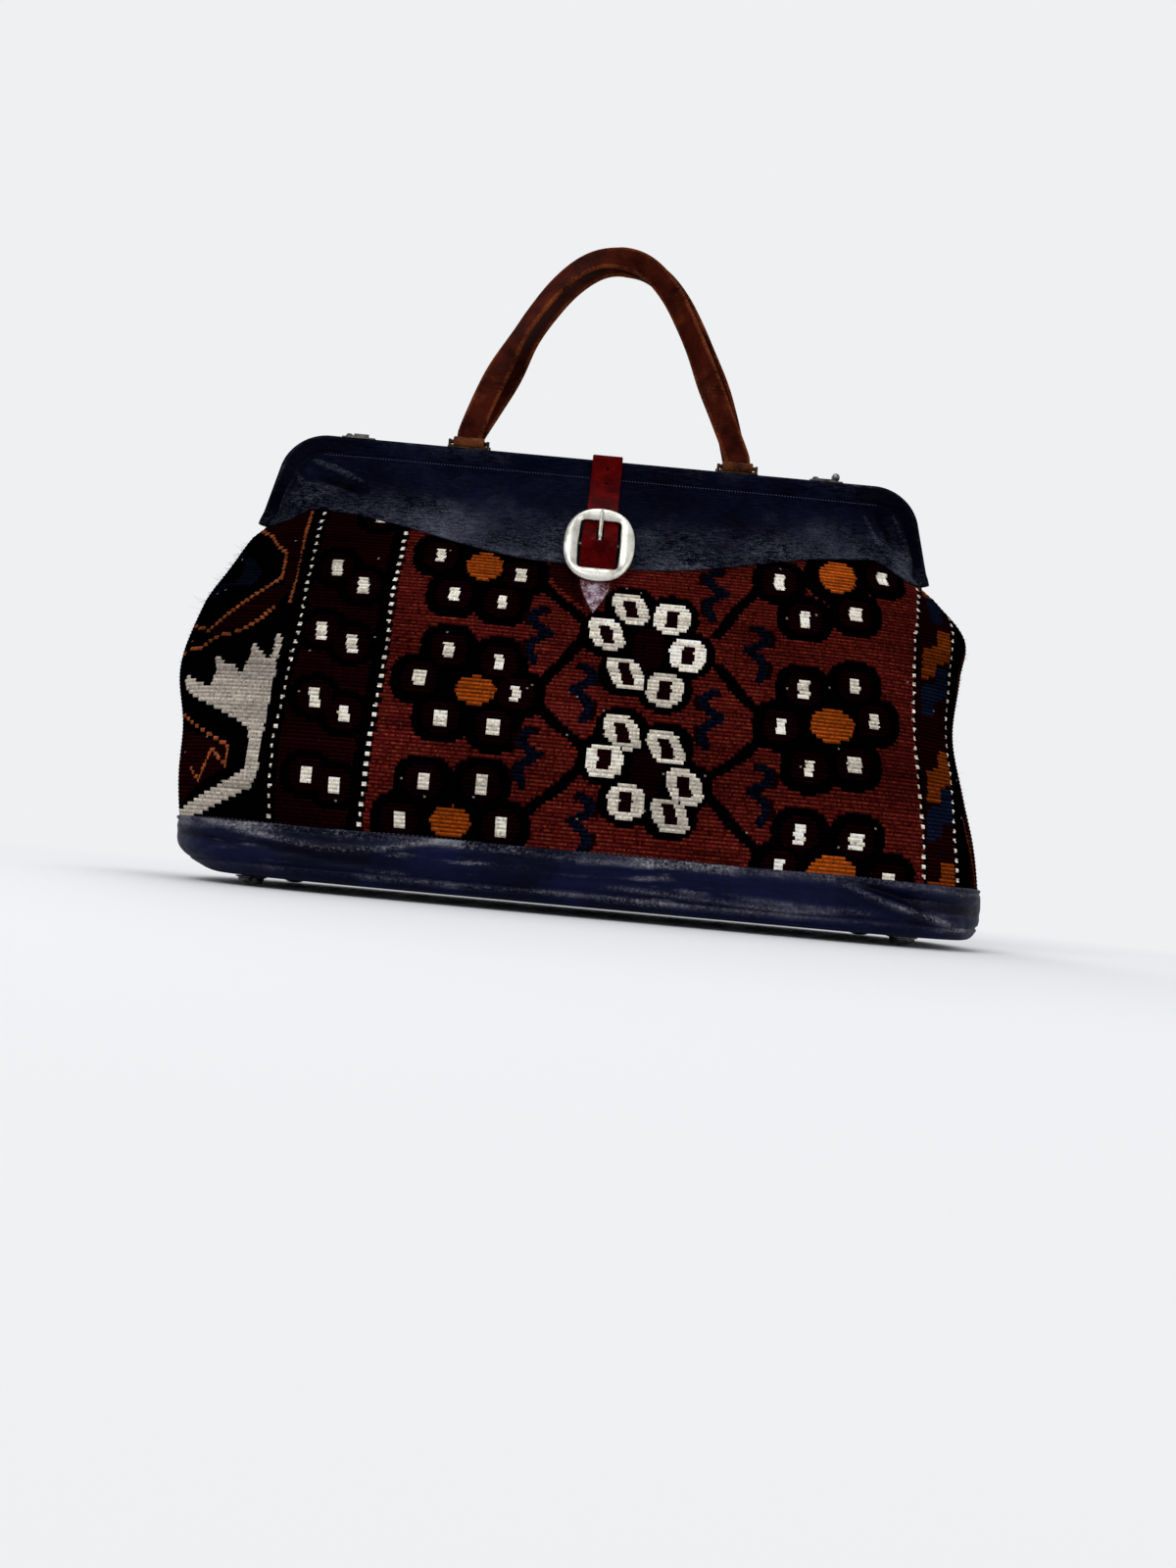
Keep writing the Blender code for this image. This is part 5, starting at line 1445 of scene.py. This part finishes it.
def add_rail(side, word):
    """The leather-wrapped bar of the frame, from arm to arm."""
    x, z = frame_path(300)
    # The cover is thicker down the arms, where the leather is gathered, and thin under the handles.
    proud = np.where(
        z < RAIL_MIDDLE - 0.1 * MM, 1.0 + 1.9 * ease(RAIL_MIDDLE, RAIL_MIDDLE - 22 * MM, z), 1.0
    ) * MM
    away_x, away_z = np.gradient(x), np.gradient(z)
    long = np.hypot(away_x, away_z)
    # The covers part below the pivots, where the two frame halves cross as they open.
    below = ease(286 * MM, 277 * MM, z)
    path = np.stack(
        [x - away_z / long * proud / 2, side * (RAIL_Y + 3.2 * MM * below), z + away_x / long * proud / 2],
        -1
    )
    section = []
    hw, ht = RAIL_THICK / 2 - 0.15 * MM, RAIL_HEIGHT / 2 + 0.5 * MM
    for k in range(28):
        a = 2 * math.pi * k / 28
        c, s = math.cos(a), math.sin(a)
        section.append((hw * math.copysign(abs(c) ** 0.55, c), ht * math.copysign(abs(s) ** 0.62, s)))
    section = np.array(section)
    rub = fbm(
        path[:, None, 0], section[None, :, 0] * 1.5, path[:, None, 2] + section[None, :, 1], 9 * MM, 3,
        41 + side
    )
    obj, _ = sweep_piece(f"{word}_rail_leather", path, ALONG_Y, section, LOOKS["rail"], 1 - 0.3 * below)
    set_shell_value(obj, "wear_and_painted_light", 0.15 + 0.6 * ease(0.0, 0.8, rub))
    return obj


# Rings of one stitch: how far along, how thick and how high above the leather
STITCH_SHAPE = (
    (-0.5, 0.35, -0.2), (-0.3, 1.0, 0.34), (0.0, 1.1, 0.46), (0.3, 1.0, 0.34), (0.5, 0.35, -0.2)
)


def stitch_row(name, points, normals, look, long, wide):
    """A row of short stitches lying along a line of points."""
    p, n = np.asarray(points), np.asarray(normals)
    run = running(*p.T)
    pitch = (long + 1.3) * MM
    verts, faces = [], []
    for k in range(int(run[-1] / pitch)):
        at = pitch * (k + 0.5)
        middle = np.array([np.interp(at, run, p[:, i]) for i in range(3)])
        ahead = np.array([np.interp(at + 0.5 * MM, run, p[:, i]) for i in range(3)])
        normal = np.array([np.interp(at, run, n[:, i]) for i in range(3)])
        along = (ahead - middle) / np.linalg.norm(ahead - middle)
        normal /= np.linalg.norm(normal)
        aside = np.cross(along, normal)
        base = len(verts)
        for t, w, h in STITCH_SHAPE:
            centre = middle + along * t * long * MM + normal * h * MM * 0.35
            for a in range(6):
                turn = math.pi * a / 3
                round_it = aside * math.cos(turn) + normal * math.sin(turn)
                verts.append(centre + round_it * wide * MM * w * 0.5)
        for r in range(4):
            for a in range(6):
                b = (a + 1) % 6
                faces.append(
                    (base + r * 6 + a, base + r * 6 + b, base + r * 6 + 6 + b, base + r * 6 + 6 + a)
                )
        faces.append(tuple(base + a for a in range(5, -1, -1)))
        faces.append(tuple(base + 24 + a for a in range(6)))
    return make_piece(name, np.array(verts), faces, look)


def add_top_stitches(side, word, outer):
    """The line of topstitching under the rail."""
    sewn = np.abs(outer[-1, :, 0] - FRAME_SHIFT) < STITCH_REACH
    away = normals_facing(outer, side)[-1, sewn]
    return stitch_row(f"{word}_topstitch", outer[-1, sewn], away, LOOKS["thread"], 1.0, 0.6)


def add_foot_stitches(side, word):
    """Running stitches along the kilim's foot, just above the base."""
    x, y, _ = outline(BAND_TOP + 2.2 * MM, -0.45 * MM)
    keep = np.abs(x) < 285 * MM
    wander = 0.5 * MM * np.sin(x[keep] / (23 * MM)) + BAND_TOP + 2.2 * MM
    points = np.stack([x[keep], side * y[keep], wander], -1)
    normal = np.stack([0 * x[keep], np.full(keep.sum(), float(side)), 0 * x[keep]], -1)
    return stitch_row(f"{word}_foot_stitch", points, normal, LOOKS["thread"], 2.0, 0.35)


# ---------------------------------------------------------------- handles

def handle_line(side):
    """The handle's middle line, from one roll over the top to the other."""
    shape = (
        (1.0, 0.0), (0.985, 0.06), (0.88, 0.22), (0.77, 0.38), (0.655, 0.55), (0.54, 0.70), (0.41, 0.84),
        (0.26, 0.945), (0.1, 0.995)
    )
    right = [(HANDLE_HALF * a, HANDLE_RISE * b) for a, b in shape]
    left = [(-x - 5 * MM * math.sin(math.pi * z / HANDLE_RISE), z) for x, z in right[::-1]]
    points = []
    for x, h in right + left:
        lean = (6.5 * MM if side > 0 else -1.5 * MM) * float(ease(0.05, 0.35, h / HANDLE_RISE))
        points.append((x + FRAME_SHIFT + lean, side * RAIL_Y, STAPLE_Z + max(h, 3.3 * MM)))
    return smooth_path(points, 220)


def add_handle(side, word):
    """A strap handle, twisted a little, and the rolls it hangs on."""
    path, at = handle_line(side)
    count = len(path)
    height = (path[:, 2] - STAPLE_Z) / HANDLE_RISE
    t = at / at[-1]
    along = np.gradient(path, axis=0)
    along /= np.linalg.norm(along, axis=1, keepdims=True)
    flat = np.cross(along, ALONG_Y)
    turn = np.radians(50) * ease(
        0.28, 0.62, height
    ) * np.where(t < 0.5, 1.0, -1.0) * np.abs(np.cos(np.pi * t)) ** 0.6
    across = flat * np.cos(turn)[:, None] + ALONG_Y * np.sin(turn)[:, None]
    section, edge = band_section(HANDLE_WIDTH / 2 - 0.1 * MM, 1.55 * MM, 0.8, 9)
    widths = 1.0 - 0.10 * ease(0.35, 0.9, height)
    wave = fbm(path[:, None, 0], section[None, :, 0], path[:, None, 2], 12 * MM, 2, 51 + side) * 0.25 * MM
    obj, grid = sweep_piece(
        f"{word}_handle_leather", path, across, section, LOOKS["handle"], widths, wave * (1 - edge)[None, :]
    )
    rub = 0.70 * edge[None, :] + 0.22 * ease(
        0.1, 0.8, fbm(grid[..., 0], grid[..., 1], grid[..., 2], 14 * MM, 3, 61 + side)
    )
    set_shell_value(obj, "wear_and_painted_light", rub, 0.5, 0.5)
    pieces = [obj]
    for end in (-1, 1):
        x = FRAME_SHIFT + end * HANDLE_HALF
        profile = [
            (2.15, -11.9), (3.6, -12.0), (4.15, -11.6), (4.25, -10), (4.2, 0), (4.25, 10), (4.15, 11.6),
            (3.6, 12.0), (2.15, 11.9), (2.15, -11.9)
        ]
        roll = turned(
            f"{word}_roll_{'left' if end < 0 else 'right'}", profile, (x, side * RAIL_Y, STAPLE_Z), X,
            LOOKS["roll"], 32
        )
        set_value(roll, "wear_and_painted_light", np.full(len(roll.data.vertices), 0.3))
        pieces.append(roll)
    return pieces


# ---------------------------------------------------------------- strap and buckle

def front_slope(z=BUCKLE_Z):
    """Directions up the front face and out of it at this height, at the strap."""
    low, high = float(depth_at(STRAP_X, z - 1 * MM)), float(depth_at(STRAP_X, z + 1 * MM))
    up = Vector((0, low - high, 2 * MM)).normalized()
    return up, Vector((0, -up.z, up.y))


def front_face(z, lift):
    """A point in front of the tub's face, under the strap's middle."""
    _, out = front_slope(z)
    skin = YOKE_SKIN if z > 258 * MM else 0.0
    return Vector((STRAP_X, -float(depth_at(STRAP_X, z)) - skin, z)) + out * lift


def in_buckle(x, u, n):
    """A point from the buckle's bar: across, up and out."""
    up, out = front_slope()
    return front_face(BUCKLE_Z, BAR_LIFT) + X * x + up * u + out * n


def buckle_basis():
    """The buckle's own directions and its bar's place."""
    up, out = front_slope()
    origin = front_face(BUCKLE_Z, BAR_LIFT)
    return Matrix(
        ((1, up.x, out.x, origin.x), (0, up.y, out.y, origin.y), (0, up.z, out.z, origin.z), (0, 0, 0, 1))
    )


def add_strap():
    """The closing strap, from behind the frame over its top and through the buckle."""
    half = STRAP_HALF_THICK
    behind = RIM_LIFT - BAR_LIFT - 0.5 * MM - half
    over = 3.5 * MM + half
    reach = BUCKLE_OPENING[1] / 2
    path = []
    for k in range(5):
        point = front_face(300 * MM + 7 * MM * k, 0.6 * MM + half)
        path.append(Vector((point.x, -point.y, point.z)))
    edge = RAIL_Y + RAIL_THICK / 2 + 1.25 * MM + half
    top = FRAME_TOP + 1.7 * MM + half
    path += [Vector((STRAP_X, y, z)) for y, z in (
        (edge, FRAME_TOP - 6 * MM), (edge, FRAME_TOP - 1.5 * MM), (edge - 1.4 * MM, top - 0.3 * MM),
        (edge - 4 * MM, top),
        (0, top), (-edge + 4 * MM, top), (-edge + 1.4 * MM, top - 0.3 * MM), (-edge, FRAME_TOP - 1.5 * MM),
        (-edge, FRAME_TOP - 9 * MM),
    )]
    path += [front_face(z, lift * MM) for z, lift in ((331 * MM, 2.8), (318 * MM, 2.3), (306 * MM, 2.7))]
    for u, n in (
        (reach + 10 * MM, behind), (reach + 1 * MM, behind), (reach - 5 * MM, behind + 1.0 * MM),
        (6.5 * MM, over - 0.8 * MM),
        (2.5 * MM, over + 0.05 * MM), (-2.5 * MM, over + 0.05 * MM), (-6.5 * MM, over - 0.8 * MM),
        (-reach + 5 * MM, behind + 1.0 * MM),
        (-reach - 1 * MM, behind), (-reach - 8 * MM, behind),
    ):
        path.append(in_buckle(0, u, n))
    end = path[-1]
    tip = Vector((STRAP_X, -(float(depth_at(STRAP_X, STRAP_TIP_Z)) + 2.6 * MM + half), STRAP_TIP_Z))
    path += [end.lerp(tip, t) for t in (0.35, 0.7, 0.88, 1.0)]
    line, at = smooth_path(path, 320)
    left = at[-1] - at
    widths = np.interp(left / MM, (0, 1.5, 5, 12, 20, 27), (0.03, 0.10, 0.28, 0.6, 0.86, 1.0))
    up, _ = front_slope()
    middle = np.array(in_buckle(0, 0, 0))
    climb = (line - middle) @ np.array(up)
    widths = widths * np.where(line[:, 1] < 0, 1 + 0.11 * np.exp(-(climb / (20 * MM)) ** 12), 1)
    section, _ = band_section(STRAP_WIDTH / 2, half, 0.75, 17)
    # The strap is made in three lengths, so that each follows what it lies on when the frame opens.
    bends = [
        int(np.argmin(np.hypot(line[:, 1] - sign * edge, line[:, 2] - FRAME_TOP + 1.5 * MM)))
        for sign in (1, -1)
    ]
    ends = [0, *bends, len(line) - 1]
    pieces = []
    for name, first, last in zip(("strap_behind", "strap_over_top", "strap_in_front"), ends, ends[1:]):
        part = slice(first, last + 1)
        obj, grid = sweep_piece(name, line[part], ALONG_X, section, LOOKS["strap"], widths[part])
        tip_wear = 1 - ease(17 * MM, 27 * MM, left[part])
        rub = fbm(grid[..., 0] * 1.5, grid[..., 1], grid[..., 2], 8 * MM, 3, 71)
        buckle_rub = np.exp(-((grid[..., 2] - 268 * MM) / (6 * MM)) ** 2) * ease(0.0, 0.6, rub)
        wear_and_painted_light = np.clip(1.6 * tip_wear[:, None] * (0.75 + 0.5 * rub) + 0.06 * buckle_rub, 0, 1)
        set_shell_value(obj, "wear_and_painted_light", wear_and_painted_light, 0.0, wear_and_painted_light[-1].mean())
        pieces.append(obj)
    front = pieces[-1]
    deselect()
    cut(front, box_cutter((-2.6 * MM, 1 * MM, -7 * MM), (2.6 * MM, 15 * MM, 14 * MM), buckle_basis()))
    for z in (345 * MM, 331 * MM):
        slope = front_face(z, 0)
        bpy.ops.mesh.primitive_cylinder_add(vertices=20, radius=1.3 * MM, depth=14 * MM)
        hole = bpy.context.object
        turn = Vector((0, 0, 1)).rotation_difference(Vector((0, 1, -0.3))).to_matrix().to_4x4()
        hole.data.transform(Matrix.Translation((STRAP_X + 0.5 * MM, slope.y - 3 * MM, z)) @ turn)
        cut(front, hole)
    for obj in pieces:
        obj.data.set_sharp_from_angle(angle=math.radians(50))
    return pieces


def superellipse(width, height, power, count):
    """A rounded oblong loop."""
    out = []
    for k in range(count):
        a = 2 * math.pi * (k + 0.5) / count
        c, s = math.cos(a), math.sin(a)
        out.append(
            (
                width / 2 * math.copysign(abs(c) ** (2 / power), c),
                height / 2 * math.copysign(abs(s) ** (2 / power), s)
            )
        )
    return np.array(out)


def add_buckle():
    """The oval silver rim and its bar."""
    count = 120
    outside = superellipse(*BUCKLE_SIZE, 2.35, count)
    inside_loop = superellipse(BUCKLE_OPENING[0] + 3 * MM, BUCKLE_OPENING[1] + 1.5 * MM, 11.0, count)
    rim = RIM_LIFT - BAR_LIFT
    rows = [
        (outside * 0.985, rim), (outside, rim + 0.35 * MM), (outside, rim + 1.1 * MM),
        (outside * 0.985, rim + 1.7 * MM)
    ]
    for t in np.linspace(0.12, 0.9, 8):
        ring = outside * 0.96 * (1 - t) + inside_loop * 1.06 * t
        rows.append((ring, rim + 2.1 * MM + 0.95 * MM * math.sin(math.pi * min(1, t * 1.06)) ** 0.8))
    rows += [
        (inside_loop * 1.03, rim + 2.0 * MM), (inside_loop * 1.0, rim + 1.4 * MM),
        (inside_loop, rim + 0.4 * MM), (inside_loop * 1.015, rim)
    ]
    basis = np.array(buckle_basis())
    grid = np.empty((len(rows), count, 3))
    for r, (loop, n) in enumerate(rows):
        local = np.stack([loop[:, 0], loop[:, 1], np.full(count, n), np.ones(count)], -1)
        grid[r] = (local @ basis.T)[:, :3]
    points = grid.reshape(-1, 3)
    faces = grid_faces(len(rows), count, wrap=True).tolist()
    last = (len(rows) - 1) * count
    faces += [((k + 1) % count, k, last + k, last + (k + 1) % count) for k in range(count)]
    ring = make_piece("buckle_rim", points, faces, LOOKS["silver"], 50)
    # Cleaner on the rim's crown and duller towards its edges: real polish and tarnish, and also painted
    # light on the crown and painted shade at the edges.
    crown = np.array([0.1, 0.25, 0.5, 0.75] + [0.9, 1, 1, 0.95, 0.85, 0.7, 0.5, 0.35] + [0.2, 0.1, 0, 0])
    patch = (
        0.5 + 0.6 * fbm(points[:, 0], points[:, 1], points[:, 2], 11 * MM, 3, 91).reshape(len(rows), count)
    )
    set_value(ring, "rub_and_painted_light", np.clip(crown[:, None] * patch * 1.5, 0, 1))
    outward(ring)
    bar = turned(
        "buckle_bar", [(0, -15.6), (1.3, -15.6), (1.6, -15.2), (1.6, 15.2), (1.3, 15.6), (0, 15.6)],
        in_buckle(0, 0, 0), X, LOOKS["steel"], 24
    )
    return [ring, bar]


def add_prong():
    """The prong's pin, over the rim, and its eye round the bar."""
    over_rim = RIM_LIFT - BAR_LIFT + 3.0 * MM + 0.3 * MM + 1.05 * MM
    points = [
        in_buckle(0, u, n) for u,
        n in (
            (0.8 * MM, 2.3 * MM), (4 * MM, 3.3 * MM), (8 * MM, over_rim - 0.1 * MM), (20 * MM, over_rim),
            (27 * MM, over_rim), (29 * MM, over_rim - 0.15 * MM)
        )
    ]
    path, at = smooth_path(points, 40)
    section = np.array(
        [
            (1.45 * MM * math.cos(a), 1.0 * MM * math.sin(a))
            for a in np.linspace(0, 2 * math.pi, 16, endpoint=False)
        ]
    )
    widths = np.interp(at[-1] - at, (0, 0.4 * MM, 1.5 * MM, 6 * MM), (0.35, 0.7, 0.92, 1.0))
    pin, _ = sweep_piece("prong_pin", path, ALONG_X, section, LOOKS["silver"], widths)
    eye = turned(
        "prong_eye",
        [(1.9, -1.4), (2.9, -1.4), (3.2, -1.1), (3.2, 1.1), (2.9, 1.4), (1.9, 1.4), (1.9, -1.4)],
        in_buckle(0, 0, 0), X, LOOKS["silver"], 28
    )
    return [pin, eye]


# ---------------------------------------------------------------- lining and loose wool

def add_lining():
    """The cotton lining, a closed double wall."""
    count = 220
    low = FLOOR + (3.0 + 0.3 + 2.4 + 0.3) * MM
    rows = [(low, 30, None), (low, 19, None), (low + 0.8 * MM, 12, None), (low + 4 * MM, 7.5, None)]
    heights = list(np.linspace(FLOOR + 22 * MM, 250.5 * MM, 34))
    rows += [(z, 4.4, z) for z in heights]
    rows += [(251.6 * MM, 4.5, None), (252 * MM, 5.1, None), (251.4 * MM, 5.7, None)]
    rows += [(z, 5.8, z) for z in heights[::-1]]
    rows += [
        (low + 5 * MM, 9.2, None), (low + 2 * MM, 13, None), (low + 1.4 * MM, 20, None),
        (low + 1.4 * MM, 30, None)
    ]
    grid = np.empty((len(rows), count, 3))
    for r, (z, inset, _) in enumerate(rows):
        x, y = ring_at(z, inset * MM, count)
        grid[r] = np.stack([x, y, np.full(count, z)], -1)
    ripple = np.clip(fbm(grid[..., 0], grid[..., 1], grid[..., 2] * 0.35, 30 * MM, 2, 81), -1, 1)
    inward = -grid * (1, 1, 0)
    inward /= np.maximum(np.linalg.norm(inward, axis=-1, keepdims=True), 1e-9)
    free = (ease(30 * MM, 60 * MM, grid[..., 2]) * (1 - ease(235 * MM, 250 * MM, grid[..., 2])))
    grid = grid + inward * ((0.5 + 0.5 * ripple) * 1.6 * MM * free)[..., None]
    middle = [[-2 * MM, 0, low], [-2 * MM, 0, low + 1.4 * MM]]
    return shell_piece("cloth_lining", grid, middle, LOOKS["lining"])


def add_frayed_wool():
    """Loose wool ends at the upper corners of the sides and along the kilim's cut edge."""
    rng = np.random.default_rng(5)
    verts, faces = [], []

    def hair(root, way, long):
        base = len(verts)
        aside = np.cross(way, (0.3, 0.8, 0.5))
        aside /= np.linalg.norm(aside)
        curl = rng.normal(0, 0.35, 3)
        for t in (0, 0.35, 0.7, 1.0):
            middle = root + way * long * t + curl * long * t * t
            for sign in (-1, 1):
                verts.append(middle + aside * sign * HAIR_WIDTH * (1 - 0.7 * t))
        for r in range(3):
            a = base + 2 * r
            faces.append((a, a + 1, a + 3, a + 2))

    for _ in range(900):
        z = rng.uniform(60, 264) * MM
        end = -1 if rng.random() < 0.62 else 1
        if end < 0:
            z = rng.triangular(150, 258, 264) * MM if rng.random() < 0.6 else z
        half, lean = float(station(z, 1)), float(station(z, 2))
        share = 1 - abs(rng.normal(0, 0.006))
        x = lean + end * half * share
        y = float(depth_at(x, z)) * rng.choice((-1, 1))
        way = np.array((end * 1.0, np.sign(y) * 0.4 + rng.normal(0, 0.4), rng.normal(0.2, 0.6)))
        way /= np.linalg.norm(way)
        long = rng.uniform(0.8, 3.4) * (1.7 if end < 0 and z > 200 * MM else 1.0)
        hair(np.array((x, y, z)), way, long * MM)
    return make_piece("frayed_wool", np.array(verts), faces, LOOKS["fuzz"])


# ---------------------------------------------------------------- the whole bag


def give(node, look):
    """Puts a finish on a solid that is carried over."""
    obj = bpy.data.objects[node]
    obj.data.materials.clear()
    obj.data.materials.append(LOOKS[look])


def settle(obj):
    """Moves a finished piece to where the solids are."""
    obj.data.transform(Matrix.Translation((CENTRE_SHIFT, 0, 0)))
    return obj


def build():
    """Makes every piece and says what carries it."""
    make_looks()
    front = kilim_panel("front_kilim", -1, 11)
    rear = kilim_panel("rear_kilim", 1, 12)
    prints = [
        "print_left_field", "print_left_band", "print_middle_field", "print_right_border",
        "print_right_edge", "print_upper_rings", "print_lower_rings"
    ]
    prints += [f"print_rosette_{k}" for k in range(1, 7)]
    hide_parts("kilim_front_panel", *prints)
    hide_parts("kilim_rear_panel", "print_rear_left", "print_rear_middle", "print_rear_right")
    for obj, side, word in ((front, -1, "front"), (rear, 1, "rear")):
        settle(obj)
        backing = settle(backing_panel(f"{word}_backing", side))
        yoke, outer = add_yoke(side, word)
        stitches = settle(add_top_stitches(side, word, outer))
        settle(yoke)
        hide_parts(f"{word}_yoke")
        for piece in (obj, backing, yoke, stitches):
            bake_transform(piece)
        sewing = settle(add_foot_stitches(side, word))
        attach(sewing, "bag_body")
        rail = settle(add_rail(side, word))
        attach(rail, f"{word}_frame")
        for piece in add_handle(side, word):
            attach(settle(piece), f"{word}_handle")
            if piece.name.endswith("_leather"):
                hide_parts(f"{word}_handle")

    base = settle(add_base())
    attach(base, "bag_body")
    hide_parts("base_leather")
    for foot, node in add_feet():
        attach(settle(foot), "bag_body")
        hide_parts(node)
    lining = settle(add_lining())
    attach(lining, "bag_body")
    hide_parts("lining")
    wool = settle(add_frayed_wool())
    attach(wool, "bag_body")

    for piece in add_strap():
        settle(piece)
        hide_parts("closure_strap")
        if piece.name == "strap_over_top":
            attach(piece, "rear_frame")
        else:
            word = "rear" if piece.name == "strap_behind" else "front"
            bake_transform(piece)
    for piece in add_buckle():
        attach(settle(piece), "buckle")
        if piece.name == "buckle_rim":
            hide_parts("buckle_frame")
    for piece in add_prong():
        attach(settle(piece), "prong")
        if piece.name == "prong_pin":
            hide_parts("buckle_prong")

    give("base_board", "card")
    give("buckle_chape", "strap")
    for word in ("front", "rear"):
        give(f"{word}_frame_rail", "rail")
        for end in ("left", "right"):
            give(f"{word}_handle_staple_{end}", "bronze")
    for word in ("left", "right"):
        give(f"{word}_frame_pivot", "steel")
        give(f"{word}_catch_plate", "steel")
        give(f"{word}_catch_keeper", "steel")
    give("left_catch_lever", "steel")
    give("right_catch_lever", "chrome")


set_stage()
build()
